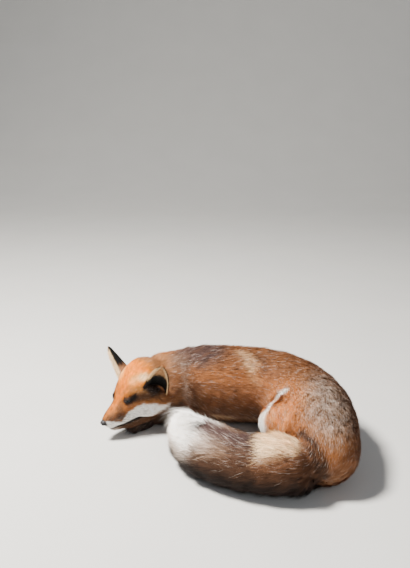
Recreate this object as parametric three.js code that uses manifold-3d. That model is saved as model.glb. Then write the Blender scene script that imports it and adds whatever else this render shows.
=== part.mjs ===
// A mounted red fox, life size, lying curled with its chin on its left foreleg and its tail
// brought round in front. Units are millimetres and +Z is up. The fox lies on the plane z = 0,
// with its back towards +Y, its head towards -X and its rump towards +X.
// Every solid of the body reaches out to the tips of the coat. Bodies that touch the floor are
// drawn a little below it and cut off at z = 0, so that each rests on a small flat. The origin is
// on the floor, at the middle of the fox's bounding box.

import * as THREE from 'three';
import { mergeVertices } from 'three/addons/utils/BufferGeometryUtils.js';
import Module from 'manifold-3d';

const wasm = await Module();
wasm.setup();

// ---- driving dimensions ---------------------------------------------------------------------

const GAP = 0.3;                  // clearance between two pieces that touch

const NOSE_TIP = [-263, -42, 36];
const HEAD_TURN = 220;            // degrees from +X to the way the nose points
const HEAD_DROP = 19;             // degrees that the nose points below level
const HEAD_ROLL = 7;              // degrees that the left side is raised
const EYE_RADIUS = 8.2;
const EAR_HEIGHT = 75;
const EAR_WIDTH = 47;
const EAR_WALL = 5;               // gristle with the short coat on both faces

const CHEST = 79;                 // half the chest's width, coat included
const TAIL = 56;                  // the brush's greatest radius
const FOREPAW = 62;
const HINDFOOT = 112;             // hock to toe tips
const WRIST = 12;                 // height of the wrist and the hock above the floor
const TOES = 4;

// ---- colours of the pieces ------------------------------------------------------------------

const COAT = new THREE.MeshStandardMaterial({ color: 0xa3683c, roughness: 0.9, metalness: 0 });
const FACE = new THREE.MeshStandardMaterial({ color: 0xc98a55, roughness: 0.9, metalness: 0 });
const THROAT = new THREE.MeshStandardMaterial({ color: 0xd9d2c8, roughness: 0.9, metalness: 0 });
const STOCKING = new THREE.MeshStandardMaterial({ color: 0x4a2c1e, roughness: 0.9, metalness: 0 });
const BRUSH = new THREE.MeshStandardMaterial({ color: 0x9a7656, roughness: 0.95, metalness: 0 });
const BRUSH_TIP = new THREE.MeshStandardMaterial({ color: 0xe6e0d8, roughness: 0.95, metalness: 0 });
const EAR_BACK = new THREE.MeshStandardMaterial({ color: 0x2b211c, roughness: 0.9, metalness: 0 });
const NOSE = new THREE.MeshStandardMaterial({ color: 0x161314, roughness: 0.45, metalness: 0 });
const GLASS_EYE = new THREE.MeshStandardMaterial({ color: 0x2a1608, roughness: 0.1, metalness: 0 });

// ---- solids from three.js geometry ------------------------------------------------------------

function solidOf(geometry) {
  geometry.deleteAttribute('normal');
  geometry.deleteAttribute('uv');
  const merged = mergeVertices(geometry, 1e-4);
  return new wasm.Manifold(new wasm.Mesh({
    numProp: 3,
    vertProperties: new Float32Array(merged.attributes.position.array),
    triVerts: new Uint32Array(merged.index.array),
  }));
}

function geometryOf(solid) {
  const mesh = solid.getMesh();
  const geometry = new THREE.BufferGeometry();
  geometry.setAttribute('position', new THREE.BufferAttribute(mesh.vertProperties, 3));
  geometry.setIndex(new THREE.BufferAttribute(mesh.triVerts, 1));
  geometry.computeVertexNormals();
  return geometry;
}

// Moves each vertex of a geometry to a place worked out from where it was.
function reshape(geometry, place) {
  const position = geometry.attributes.position;
  const point = new THREE.Vector3();
  for (let i = 0; i < position.count; i++) {
    point.fromBufferAttribute(position, i);
    place(point);
    position.setXYZ(i, point.x, point.y, point.z);
  }
  return geometry;
}

const Z_AXIS = new THREE.Vector3(0, 0, 1);

const squared = (part, power) => Math.sign(part) * Math.pow(Math.abs(part), 2 / power);

// How wide a round end is at a distance from its tip, as a share of the full width.
const rounded = (distance, radius) => Math.sqrt(1 - Math.pow(Math.max(0, 1 - distance / radius), 2));

// A body drawn along a smooth path, with a round end at its first and last station. A station is
// [x, y, z, wide, high, deep]: the centre of a section, half its width, and how far it reaches
// above and below that centre. `square` is 2 for an oval section and more for a boxier one.
function sweep(stations, { around = 12, along = 8, square = 2 } = {}) {
  const path = new THREE.CatmullRomCurve3(stations.map((s) => new THREE.Vector3(s[0], s[1], s[2])));
  const sizes = new THREE.CatmullRomCurve3(stations.map((s) => new THREE.Vector3(s[3], s[4], s[5])));
  const first = path.getPoint(0);
  const last = path.getPoint(1);
  const [tangent, side, up, size] = [0, 0, 0, 0].map(() => new THREE.Vector3());
  return (grow) => solidOf(reshape(new THREE.SphereGeometry(1, around, along), (point) => {
    const ring = Math.hypot(point.x, point.z);
    const atEnd = ring < 1e-6;
    const across = atEnd ? 0 : squared(point.x / ring, square);
    const upward = atEnd ? 0 : squared(point.z / ring, square);
    const even = Math.atan2(ring, point.y) / Math.PI;
    const t = atEnd ? Math.round(even) : THREE.MathUtils.lerp(even, (1 - point.y) / 2, 0.6);
    path.getPoint(t, point);
    path.getTangent(t, tangent);
    sizes.getPoint(t, size);
    side.crossVectors(Z_AXIS, tangent).normalize();
    up.crossVectors(tangent, side);
    const swell = rounded(point.distanceTo(first), stations[0][3])
      * rounded(point.distanceTo(last), stations[stations.length - 1][3]);
    const reach = upward > 0 ? size.y : size.z;
    point.addScaledVector(side, across * (swell * size.x + grow));
    point.addScaledVector(up, upward * (swell * reach + grow));
    point.addScaledVector(tangent, (2 * t - 1) * grow);
  }));
}

function ball(centre, half) {
  return (grow) => solidOf(new THREE.SphereGeometry(1, 9, 8)
    .scale(half[0] + grow, half[1] + grow, half[2] + grow)
    .translate(...centre));
}

function joined(...shapes) {
  return (grow) => shapes.map((shape) => shape(grow)).reduce((sum, next) => sum.add(next));
}

function moved(shape, matrix) {
  return (grow) => shape(grow).transform(matrix.elements);
}

function cut(shape, ...cutters) {
  return (grow) => cutters.reduce((rest, cutter) => rest.subtract(cutter(0)), shape(grow));
}

// Keeps what lies on the side of a plane that its normal points to.
function kept(shape, normal, point) {
  const plane = new THREE.Vector3(...normal).normalize();
  const offset = plane.dot(new THREE.Vector3(...point));
  return (grow) => shape(grow).trimByPlane(plane.toArray(), offset - grow);
}

// ---- head, drawn with the nose tip at the origin, +X forward and +Y to the left ---------------

const mirrored = ([x, y, z, ...rest]) => [x, -y, z, ...rest];

const headPlace = new THREE.Matrix4()
  .makeTranslation(...NOSE_TIP)
  .multiply(new THREE.Matrix4().makeRotationZ(THREE.MathUtils.degToRad(HEAD_TURN)))
  .multiply(new THREE.Matrix4().makeRotationY(THREE.MathUtils.degToRad(HEAD_DROP)))
  .multiply(new THREE.Matrix4().makeRotationX(THREE.MathUtils.degToRad(HEAD_ROLL)));

const SKULL = [
  [-2, 0, 0, 10, 8, 13],
  [-14, 0, 0, 15, 12, 21],
  [-30, 0, 3, 20, 14, 29],
  [-48, 0, 6, 25, 17, 36],
  [-64, 0, 10, 32, 24, 42],
  [-80, 0, 14, 42, 37, 49],
  [-102, 0, 15, 51, 52, 55],
  [-126, 0, 15, 54, 58, 57],
  [-146, 0, 14, 52, 60, 54],
  [-168, 0, 12, 44, 57, 44],
];
const RUFF = [
  [-66, 20, -6, 8, 12, 12],
  [-88, 38, -14, 12, 22, 20],
  [-112, 50, -18, 13, 26, 24],
  [-136, 54, -14, 12, 22, 20],
  [-154, 48, -8, 6, 10, 10],
];
const BROW = [
  [-58, 15, 25, 6, 6, 6],
  [-72, 21, 36, 9, 8, 8],
  [-90, 26, 46, 10, 8, 8],
];
const EAR_BANK = [
  [-106, 30, 44, 6, 6, 6],
  [-98, 46, 46, 10, 10, 10],
  [-99, 58, 35, 10, 10, 10],
  [-107, 64, 20, 9, 9, 9],
  [-117, 65, 8, 7, 7, 7],
];
const FAR_BANK = EAR_BANK.map(([x, y, z, ...half]) => [x, 7 - y, z - 2, ...half]);
const JAW = [
  [-8, 0, -16, 8, 5, 7],
  [-26, 0, -23, 12, 8, 9],
  [-48, 0, -30, 16, 10, 10],
  [-74, 0, -37, 23, 14, 11],
  [-104, 0, -43, 30, 16, 12],
  [-130, 0, -44, 30, 14, 12],
];
const NOSE_PAD = [
  [-9, 0, 1.5, 7, 6, 6],
  [-2, 0, 1.5, 8, 6.5, 7],
  [4, 0, 0.5, 6.5, 5, 5.5],
];
const EYE_CENTRE = [-61, 21.5, 20.5];
const EYE_LOOK = [0.42, 0.81, 0.40];
const LID_CORNERS = [[-52, 18, 23], [-71, 33, 26]];

const EAR_ROOT = [-121, 49, 28];
const EAR_AXIS = [0.015, 0.68, 0.734];
const EAR_OPENING = [0.70, 0.65, -0.05];

// A leaf rolled about its long axis: nearly a half tube at the root and almost flat at the tip.
function ear(root, axis, opening) {
  const along = new THREE.Vector3(...axis).normalize();
  const across = new THREE.Vector3().crossVectors(along, new THREE.Vector3(...opening)).normalize();
  const facing = new THREE.Vector3().crossVectors(across, along);
  const frame = new THREE.Matrix4().makeBasis(across, along, facing).setPosition(...root);
  const leaf = (grow) => solidOf(reshape(new THREE.BoxGeometry(1, 1, 1, 8, 7, 1), (point) => {
    const rise = point.y + 0.5;
    const half = Math.max(2, EAR_WIDTH / 2 * Math.sqrt(1 - Math.pow(rise, 1.7)));
    const roll = THREE.MathUtils.degToRad(THREE.MathUtils.lerp(86, 34, rise));
    const bend = half / Math.sin(roll);
    const radius = bend - point.z * (EAR_WALL * THREE.MathUtils.lerp(1.2, 0.7, rise) + 2 * grow);
    const angle = 2 * point.x * (roll + grow / bend);
    point.set(radius * Math.sin(angle), EAR_HEIGHT * rise + (2 * rise - 1) * grow,
      bend - radius * Math.cos(angle));
  }));
  return moved(leaf, frame);
}

function lids(corners) {
  const [inner, outer] = corners.map((corner) => new THREE.Vector3(...corner));
  const line = new THREE.Vector3().subVectors(outer, inner);
  const outward = new THREE.Vector3(...EYE_LOOK).setY(Math.sign(inner.y) * EYE_LOOK[1]);
  const upright = new THREE.Vector3().crossVectors(line, outward).normalize();
  const depth = new THREE.Vector3().crossVectors(upright, line).normalize();
  const frame = new THREE.Matrix4().makeBasis(line.clone().normalize(), upright, depth)
    .setPosition(inner.clone().add(outer).multiplyScalar(0.5));
  return moved(ball([0, 0, 0], [line.length() / 2, 2, 7]), frame);
}

const eyeball = (centre) => ball(centre, [EYE_RADIUS, EYE_RADIUS, EYE_RADIUS]);
const skull = joined(
  sweep(SKULL, { around: 18, along: 14, square: 2.3 }),
  ...[RUFF, BROW].flatMap((line) => [line, line.map(mirrored)]).map((line) => sweep(line, { around: 8, along: 6 })),
  ...[EAR_BANK, FAR_BANK].map((line) => sweep(line, { around: 7, along: 5 })),
);
const openLids = cut(skull, lids(LID_CORNERS), lids(LID_CORNERS.map(mirrored)));

// ---- trunk and neck ---------------------------------------------------------------------------

const TRUNK = [
  [-206, 38, 94, 34, 44, 40],
  [-168, 46, 93, 50, 54, 55],
  [-132, 52, 92, 60, 56, 63],
  [-100, 56, 90, 70, 63, 78],
  [-64, 58, 87, 79, 73, 88],
  [-12, 53, 84, CHEST, 76, 87],
  [50, 48, 82, 78, 76, 85],
  [102, 22, 81, 76, 74, 84],
  [136, -26, 79, 75, 72, 82],
  [151, -88, 77, 74, 70, 80],
  [149, -148, 72, 72, 65, 75],
  [146, -202, 64, 67, 59, 67],
  [138, -253, 60, 62, 54, 63],
];
const COLLAR = { normal: [1, 0.1, 0], point: [-104, 58, 0] };
const WAIST = { normal: [0.88, -0.47, 0], point: [78, 40, 0] };
const HAUNCH = { normal: [0.15, -1, 0], point: [144, -55, 0] };
const flipped = ([x, y, z]) => [-x, -y, -z];

const trunk = sweep(TRUNK, { around: 18, along: 22 });

// The length of a body between two planes, with half of the gap left at each.
function length(body, from, to) {
  const start = from ? kept(body, from.normal, from.point) : body;
  return to ? kept(start, flipped(to.normal), to.point) : start;
}

const neck = length(trunk, null, COLLAR);
const chest = length(trunk, COLLAR, WAIST);
const loins = length(trunk, WAIST, HAUNCH);
const rump = length(trunk, HAUNCH, null);

// ---- legs --------------------------------------------------------------------------------------

// A paw with its toes in a row, pointing along `heading` degrees from the wrist or hock.
function paw(wrist, heading, length, half) {
  const palm = sweep([
    [0, 0, 0, half * 0.8, 12, 13],
    [length * 0.45, 0, -1, half, 11, 13],
    [length * 0.8, 0, -3, half, 9, 11],
  ], { around: 8, along: 5 });
  const toes = Array.from({ length: TOES }, (_, i) => {
    const lateral = (i - (TOES - 1) / 2) * half * 0.52;
    const reach = length * (i === 0 || i === TOES - 1 ? 0.93 : 1);
    return sweep([
      [length * 0.62, lateral * 0.8, -3, 6.5, 7, 9],
      [reach - 6, lateral, -4, 6.5, 7, 9],
      [reach, lateral, -6, 5, 5, 6],
    ], { around: 6, along: 3 });
  });
  const frame = new THREE.Matrix4().makeTranslation(...wrist)
    .multiply(new THREE.Matrix4().makeRotationZ(THREE.MathUtils.degToRad(heading)));
  return moved(joined(palm, ...toes), frame);
}

const limb = (stations) => sweep(stations, { around: 10, along: 8 });

const forelegLeft = limb([
  [-34, 14, 28, 22, 26, 30],
  [-84, 24, 22, 19, 22, 24],
  [-136, 26, 17, 15, 17, 19],
  [-170, 16, 14, 14, 14, 16],
]);
const forepawLeft = paw([-166, 18, WRIST], 212, FOREPAW, 17);
const forelegRight = limb([
  [-50, 96, 28, 22, 26, 30],
  [-96, 90, 22, 19, 22, 24],
  [-138, 74, 17, 15, 17, 19],
  [-170, 56, 14, 14, 14, 16],
]);
const forepawRight = paw([-166, 58, WRIST], 206, FOREPAW, 17);
const thighLeft = sweep([
  [178, -130, 78, 40, 44, 70],
  [140, -110, 74, 54, 54, 77],
  [96, -98, 66, 54, 52, 69],
  [60, -94, 56, 42, 44, 59],
  [42, -92, 48, 30, 34, 50],
], { around: 16, along: 9 });
const shankLeft = limb([
  [54, -118, 24, 22, 22, 26],
  [100, -148, 22, 19, 21, 24],
  [146, -172, 18, 15, 17, 20],
]);
const hindfootLeft = paw([126, -168, WRIST], 171, HINDFOOT, 15);
const thighRight = sweep([
  [176, -128, 56, 36, 42, 58],
  [177, -66, 60, 43, 48, 63],
  [156, -8, 54, 44, 44, 57],
  [126, 22, 48, 36, 38, 50],
], { around: 14, along: 7 });
const hindfootRight = paw([96, -48, WRIST], 184, HINDFOOT, 15);

// ---- tail --------------------------------------------------------------------------------------

const BRUSH_PATH = [
  [142, -192, 60, 28, 28, 38],
  [116, -215, 55, 46, 48, 57],
  [70, -221, 56, TAIL, TAIL, 59],
  [12, -211, 54, 52, 52, 57],
  [-44, -180, 54, 52, 54, 57],
  [-82, -142, 54, 46, 52, 57],
  [-98, -104, 53, 35, 43, 49],
  [-108, -62, 52, 14, 16, 18],
];
const FIRST_THIRD = { normal: [-1, 0.05, 0], point: [44, 0, 0] };
const SECOND_THIRD = { normal: [-0.7, 0.7, 0], point: [-56, -172, 0] };

const brush = sweep(BRUSH_PATH, { around: 16, along: 16 });
const tailRoot = length(brush, null, FIRST_THIRD);
const tailMiddle = length(brush, FIRST_THIRD, SECOND_THIRD);
const tailTip = length(brush, SECOND_THIRD, null);

// ---- the pieces, each giving way to those named before it ---------------------------------------

const inHead = (shape) => moved(shape, headPlace);

const PIECES = [
  ['eye_left', inHead(eyeball(EYE_CENTRE)), GLASS_EYE],
  ['eye_right', inHead(eyeball(mirrored(EYE_CENTRE))), GLASS_EYE],
  ['nose_pad', inHead(sweep(NOSE_PAD, { around: 12, along: 7 })), NOSE],
  ['ear_left', inHead(ear(EAR_ROOT, EAR_AXIS, EAR_OPENING)), EAR_BACK],
  ['ear_right', inHead(ear(mirrored(EAR_ROOT), mirrored(EAR_AXIS), mirrored(EAR_OPENING))), EAR_BACK],
  ['head', inHead(openLids), FACE],
  ['lower_jaw', inHead(sweep(JAW, { around: 14, along: 12 })), THROAT],
  ['forepaw_left', forepawLeft, STOCKING],
  ['foreleg_left', forelegLeft, STOCKING],
  ['forepaw_right', forepawRight, STOCKING],
  ['foreleg_right', forelegRight, STOCKING],
  ['tail_tip', tailTip, BRUSH_TIP],
  ['tail_middle', tailMiddle, BRUSH],
  ['tail_root', tailRoot, BRUSH],
  ['hindfoot_left', hindfootLeft, STOCKING],
  ['shank_left', shankLeft, COAT],
  ['thigh_left', thighLeft, COAT],
  ['hindfoot_right', hindfootRight, STOCKING],
  ['thigh_right', thighRight, COAT],
  ['neck', neck, COAT],
  ['chest', chest, COAT],
  ['loins', loins, COAT],
  ['rump', rump, COAT],
];

const largest = (solid) => solid.decompose().sort((a, b) => b.volume() - a.volume())[0];

const fox = new THREE.Group();
const settled = [];
for (const [name, shape, material] of PIECES) {
  let solid = shape(0).trimByPlane([0, 0, 1], 0);
  for (const earlier of settled) {
    solid = solid.subtract(earlier(GAP));
  }
  settled.push(shape);
  const mesh = new THREE.Mesh(geometryOf(largest(solid.simplify(GAP / 3))), material);
  mesh.name = name;
  fox.add(mesh);
}
const middle = new THREE.Box3().setFromObject(fox).getCenter(new THREE.Vector3());
fox.position.set(-middle.x, -middle.y, 0);

export default fox;
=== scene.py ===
# A mounted red fox at life size, curled up asleep with its brush brought round in front.
# Lengths are in metres. The head's own points are measured from the nose tip, with +X forward,
# +Y to the fox's left and +Z up, and `in_scene` turns them into the scene.
import math
from contextlib import contextmanager

import bpy
import numpy as np
from mathutils import Matrix, Vector
from mathutils.bvhtree import BVHTree
from mathutils.kdtree import KDTree


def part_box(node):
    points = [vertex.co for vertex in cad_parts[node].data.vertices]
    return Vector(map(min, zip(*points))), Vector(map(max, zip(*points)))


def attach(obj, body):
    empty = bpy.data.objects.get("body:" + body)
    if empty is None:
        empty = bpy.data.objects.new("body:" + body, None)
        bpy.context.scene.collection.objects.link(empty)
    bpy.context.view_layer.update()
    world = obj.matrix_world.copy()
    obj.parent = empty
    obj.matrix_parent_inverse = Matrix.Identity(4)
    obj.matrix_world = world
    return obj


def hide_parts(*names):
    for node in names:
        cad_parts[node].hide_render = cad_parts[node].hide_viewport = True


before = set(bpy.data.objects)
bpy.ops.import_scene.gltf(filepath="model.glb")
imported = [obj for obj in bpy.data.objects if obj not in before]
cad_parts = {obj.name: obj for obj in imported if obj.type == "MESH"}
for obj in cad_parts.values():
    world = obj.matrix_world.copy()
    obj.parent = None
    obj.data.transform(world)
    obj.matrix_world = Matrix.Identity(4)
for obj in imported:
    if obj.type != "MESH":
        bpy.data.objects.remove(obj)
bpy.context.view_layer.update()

# ---- places on the fox ---------------------------------------------------------------------------

MM = 0.001
HEAD_TURN = 220                 # degrees from +X to the way the nose points
HEAD_DROP = 19                  # degrees that the nose points below level
HEAD_ROLL = 7                   # degrees that the left side is raised
EYES_FROM_NOSE = Vector((-0.061, 0, 0.0205))
EYE_ASIDE = 0.0215
EYE_RADIUS = 0.0082


def middle(node):
    low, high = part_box(node)
    return (low + high) / 2


def unit(vectors):
    return vectors / np.maximum(np.linalg.norm(vectors, axis=-1, keepdims=True), 1e-12)


def turn(degrees, axis):
    return Matrix.Rotation(math.radians(degrees), 3, axis)


head_turn = turn(HEAD_TURN, "Z") @ turn(HEAD_DROP, "Y") @ turn(HEAD_ROLL, "X")
HEAD_AXES = np.array(head_turn)
NOSE_TIP = np.array((middle("eye_left") + middle("eye_right")) / 2 - head_turn @ EYES_FROM_NOSE)


def from_nose(points):
    return (points - NOSE_TIP) @ HEAD_AXES


def in_scene(local):
    return NOSE_TIP + np.asarray(local) @ HEAD_AXES.T


def on_left(local):
    """Points of the head, with its right side laid over its left."""
    return local * (1, 0, 1) + abs(local) * (0, 1, 0)


def from_leather(local):
    """Distance of points of the head from the middle of the nose leather, by its reach."""
    return np.linalg.norm((local - NOSE_MIDDLE) / NOSE_REACH, axis=1)


def is_in(region, *names):
    """Whether each point is nearest to one of the named solids."""
    return np.isin(region, [REGIONS.index(name) for name in names])


# lines down the middle of the body, the brush and the legs, in the scene
SPINE = MM * np.array([
    (-183, 108, 94), (-109, 122, 92), (-41, 128, 87), (73, 118, 82), (125, 92, 81),
    (159, 44, 79), (174, -18, 77), (172, -78, 72), (161, -183, 60),
])
BRUSH = MM * np.array([
    (165, -122, 60), (139, -145, 55), (93, -151, 56), (35, -141, 54), (-21, -110, 54),
    (-59, -72, 54), (-75, -34, 53), (-85, 8, 52),
])
LEGS = {
    "foreleg_left": MM * np.array([(-11, 84, 28), (-61, 94, 22), (-113, 96, 17), (-147, 86, 14)]),
    "foreleg_right": MM * np.array([(-27, 166, 28), (-73, 160, 22), (-115, 144, 17), (-147, 126, 14)]),
    "forepaw_left": MM * np.array([(-143, 88, 13), (-200, 52, 8)]),
    "forepaw_right": MM * np.array([(-143, 128, 13), (-200, 98, 8)]),
    "shank_left": MM * np.array([(77, -48, 24), (123, -78, 22), (169, -102, 18)]),
    "hindfoot_left": MM * np.array([(149, -98, 13), (36, -78, 8)]),
    "hindfoot_right": MM * np.array([(119, 22, 13), (6, 14, 8)]),
}
SHARPEST_BEND = 25              # of a tuft along the skin, as 1 / radius
THIGH_FALL = unit(np.array([0.35, -0.45, -0.80]))     # how the coat hangs on the near thigh
HAUNCH_FALL = unit(np.array([0.10, -0.85, -0.50]))    # and on the far one

NOSE_MIDDLE = MM * np.array([-4.2, 0, 0.0])
NOSE_REACH = MM * np.array([6.6, 6.8, 6.0])
EAR_ROOT = MM * np.array([-121, 49, 28])
EAR_AXIS = unit(np.array([0.015, 0.68, 0.734]))
EAR_OPENING = np.array([0.70, 0.65, -0.05])
EAR_HEIGHT = 0.075
EAR_HALF_WIDTH = 0.0235
EAR_ROLL = (86, 34)             # degrees that each half is rolled round, at the root and at the tip

HEAD = ["head", "lower_jaw"]
HIND_FEET = ["hindfoot_left", "hindfoot_right"]
FOREPAWS = ["forepaw_left", "forepaw_right"]
TAIL = ["tail_root", "tail_middle", "tail_tip"]
FLESH = [
    *HEAD, "neck", "chest", "loins", "rump", "thigh_left", "thigh_right", "shank_left",
    *HIND_FEET, "foreleg_left", "foreleg_right", *FOREPAWS, *TAIL,
]
EARS = {"ear_left": 1, "ear_right": -1}         # and the side of the head that each is on
REGIONS = [*FLESH, *EARS]
STOCKINGS = ["foreleg_left", "foreleg_right", *FOREPAWS, *HIND_FEET]
PLUGS = ["eye_left", "eye_right", "nose_pad"]   # fill their sockets while the form is made

# flesh under the coat where two parts meet: centre and reach, from the nose
PADS = MM * np.array([
    [(-116, 58, 3), (18, 18, 17)],
    [(-117, -62, 2), (20, 20, 19)],
    [(-150, 0, 38), (28, 42, 24)],
])

# ---- camera, floor and light ---------------------------------------------------------------------

CAMERA_AT = (-0.0392, -1.2746, 0.738)
CAMERA_DROP = 17.6              # degrees below level
FOCUS = 740                     # focal length in picture pixels
PICTURE_HEIGHT = 568
SENSOR = 36

LIT_PLACE = (0, 0, 0.05)        # what the lights are aimed at
SOFTBOXES = {                   # place, width, watts and colour
    "key_light": ((-1.0, -0.10, 1.85), 0.5, 178, (1, 0.965, 0.91)),
    "fill_light": ((0.6, -2.0, 1.3), 1.8, 12, (0.90, 0.95, 1)),
}
AIR_COLOUR = (0.80, 0.84, 0.90, 1)
AIR_LIGHT = 0.30

FLOOR_HALF = 7
FLOOR_CUTS = 40
FLAT_BEHIND = 2.2               # how far behind the fox the floor stays flat
FLOOR_BEND = 1.6                # radius of its curve up from there


def add_camera():
    bpy.ops.object.camera_add(location=CAMERA_AT, rotation=(math.radians(90 - CAMERA_DROP), 0, 0))
    camera = bpy.context.object
    camera.name = "camera"
    camera.data.sensor_width = SENSOR
    camera.data.lens = SENSOR * FOCUS / PICTURE_HEIGHT
    bpy.context.scene.camera = camera


def add_softbox(name, place, width, watts, colour):
    aim = (Vector(LIT_PLACE) - Vector(place)).to_track_quat("-Z", "Y").to_euler()
    bpy.ops.object.light_add(type="AREA", location=place, rotation=aim)
    lamp = bpy.context.object
    lamp.name = name
    lamp.data.shape = "DISK"
    lamp.data.size = width
    lamp.data.energy = watts
    lamp.data.color = colour


def add_lights():
    for name, settings in SOFTBOXES.items():
        add_softbox(name, *settings)
    world = bpy.data.worlds.new("studio_air")
    world.use_nodes = True
    air = world.node_tree.nodes["Background"]
    air.inputs["Color"].default_value = AIR_COLOUR
    air.inputs["Strength"].default_value = AIR_LIGHT
    bpy.context.scene.world = world


def add_floor(material):
    """A pale sheet that lies flat under the fox and curves up far behind it."""
    bpy.ops.mesh.primitive_plane_add(size=2)
    floor = bpy.context.object
    floor.name = "floor"
    with edit_mode():
        bpy.ops.mesh.subdivide(number_cuts=FLOOR_CUTS)
    sheet = points_of(floor.data) * FLOOR_HALF
    past = np.maximum(sheet[:, 1] - FLAT_BEHIND, 0)
    bend = np.minimum(past / FLOOR_BEND, math.pi / 2)
    rest = np.maximum(past - FLOOR_BEND * math.pi / 2, 0)
    sheet[:, 1] = np.minimum(sheet[:, 1], FLAT_BEHIND) + FLOOR_BEND * np.sin(bend)
    sheet[:, 2] = FLOOR_BEND * (1 - np.cos(bend)) + rest
    place_points(floor.data, sheet)
    bpy.ops.object.shade_smooth()
    floor.data.materials.append(material)


# ---- materials -----------------------------------------------------------------------------------

# how fine the mottling is, in swells to a metre
LOCKS = 120
HAIRS = 900
WOOL = 160
WOOL_STRANDS = 1400
PEBBLES = 1500
IRIS_FLECKS = 2600
FLOOR_CLOUDS = 6


def shade(red, green, blue):
    """A colour from its screen values, made linear."""
    screen = np.array([red, green, blue]) / 255
    return np.where(screen > 0.04045, ((screen + 0.055) / 1.055) ** 2.4, screen / 12.92)


def new_material(name, roughness, specular):
    material = bpy.data.materials.new(name)
    material.use_nodes = True
    shader = material.node_tree.nodes["Principled BSDF"]
    shader.inputs["Roughness"].default_value = roughness
    shader.inputs["Specular IOR Level"].default_value = specular
    return material, shader


def node(material, kind, **settings):
    made = material.node_tree.nodes.new(kind)
    for key, value in settings.items():
        if key in made.inputs:
            made.inputs[key].default_value = value
        else:
            setattr(made, key, value)
    return made


def wire(material, start, end):
    material.node_tree.links.new(start, end)


def object_noise(material, scale, detail):
    where = node(material, "ShaderNodeTexCoord")
    noise = node(material, "ShaderNodeTexNoise", Scale=scale, Detail=detail)
    wire(material, where.outputs["Object"], noise.inputs["Vector"])
    return noise


def varied(material, colour, noise, low, high):
    """Darkens and lightens a colour by a noise, from `low` to `high` times."""
    swing = node(material, "ShaderNodeMapRange", **{
        "From Min": 0.3, "From Max": 0.7, "To Min": low, "To Max": high,
    })
    wire(material, noise.outputs["Fac"], swing.inputs["Value"])
    scaled = node(material, "ShaderNodeVectorMath", operation="SCALE")
    wire(material, colour, scaled.inputs[0])
    wire(material, swing.outputs["Result"], scaled.inputs["Scale"])
    return scaled.outputs["Vector"]


def graded(material, value, stops):
    """Colours along a value, from stops of place and colour."""
    ramp = node(material, "ShaderNodeValToRGB")
    marks = ramp.color_ramp.elements
    for mark, (place, colour) in zip(marks, stops):
        mark.position = place
        mark.color = (*colour, 1)
    for place, colour in stops[2:]:
        marks.new(place).color = (*colour, 1)
    wire(material, value, ramp.inputs["Fac"])
    return ramp.outputs["Color"]


def bumped(material, shader, height, distance, strength):
    bump = node(material, "ShaderNodeBump", Strength=strength, Distance=distance)
    wire(material, height, bump.inputs["Height"])
    wire(material, bump.outputs["Normal"], shader.inputs["Normal"])


def hair_material():
    """Guard hair: its own colour, mottled in locks and from hair to hair."""
    material, shader = new_material("guard_hair", 0.62, 0.12)
    shader.inputs["Sheen Weight"].default_value = 0.02
    shader.inputs["Sheen Roughness"].default_value = 0.5
    colour = node(material, "ShaderNodeAttribute", attribute_name="coat_colour")
    mottled = varied(material, colour.outputs["Color"], object_noise(material, LOCKS, 3), 0.86, 1.12)
    streaked = varied(material, mottled, object_noise(material, HAIRS, 2), 0.88, 1.10)
    wire(material, streaked, shader.inputs["Base Color"])
    return material


def skin_material():
    """Skin under its wool, in the colours of the coat over it but deeper."""
    material, shader = new_material("skin_and_wool", 0.8, 0.2)
    colour = node(material, "ShaderNodeAttribute", attribute_name="coat_colour")
    fine = object_noise(material, WOOL_STRANDS, 4)
    mottled = varied(material, colour.outputs["Color"], object_noise(material, WOOL, 4), 0.72, 1.0)
    wire(material, varied(material, mottled, fine, 0.7, 1.05), shader.inputs["Base Color"])
    bumped(material, shader, fine.outputs["Fac"], 0.0008, 0.7)
    return material


def leather_material():
    """Pebbled black nose leather with a faint moist gloss."""
    material, shader = new_material("nose_leather", 0.42, 0.4)
    where = node(material, "ShaderNodeTexCoord")
    pebbles = node(material, "ShaderNodeTexVoronoi", Scale=PEBBLES)
    wire(material, where.outputs["Object"], pebbles.inputs["Vector"])
    from_middle = pebbles.outputs["Distance"]
    pebbled = graded(material, from_middle, [(0, (0.030, 0.026, 0.028)), (1, (0.006, 0.005, 0.006))])
    wire(material, pebbled, shader.inputs["Base Color"])
    bumped(material, shader, from_middle, -0.0002, 0.5)
    return material


# the eye's colours by the angle from its middle, in half turns: pupil, iris, its dark rim and what is
# round that
EYE_RINGS = [
    (0.16, (0.002, 0.002, 0.002)),
    (0.20, (0.085, 0.034, 0.009)),
    (0.34, (0.028, 0.012, 0.004)),
    (0.40, (0.012, 0.009, 0.008)),
]


def eye_material():
    """A dark amber glass eye."""
    material, shader = new_material("glass_eye", 0.10, 0.5)
    shader.inputs["Coat Weight"].default_value = 0.5
    shader.inputs["Coat Roughness"].default_value = 0.04
    angle = node(material, "ShaderNodeAttribute", attribute_name="from_pupil")
    rings = graded(material, angle.outputs["Fac"], EYE_RINGS)
    flecked = varied(material, rings, object_noise(material, IRIS_FLECKS, 2), 0.8, 1.2)
    wire(material, flecked, shader.inputs["Base Color"])
    return material


def mottled_material(name, colour, roughness, specular, grain, low, high):
    """One colour, made a little uneven."""
    material, shader = new_material(name, roughness, specular)
    base = node(material, "ShaderNodeRGB")
    base.outputs[0].default_value = (*colour, 1)
    uneven = varied(material, base.outputs[0], object_noise(material, grain, 3), low, high)
    wire(material, uneven, shader.inputs["Base Color"])
    return material


def floor_material():
    return mottled_material("pale_floor", (0.62, 0.61, 0.585), 0.85, 0.2, FLOOR_CLOUDS, 0.985, 1.015)


def claw_material():
    return mottled_material("claw_horn", (0.035, 0.026, 0.020), 0.38, 0.45, HAIRS, 0.6, 1.5)


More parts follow.
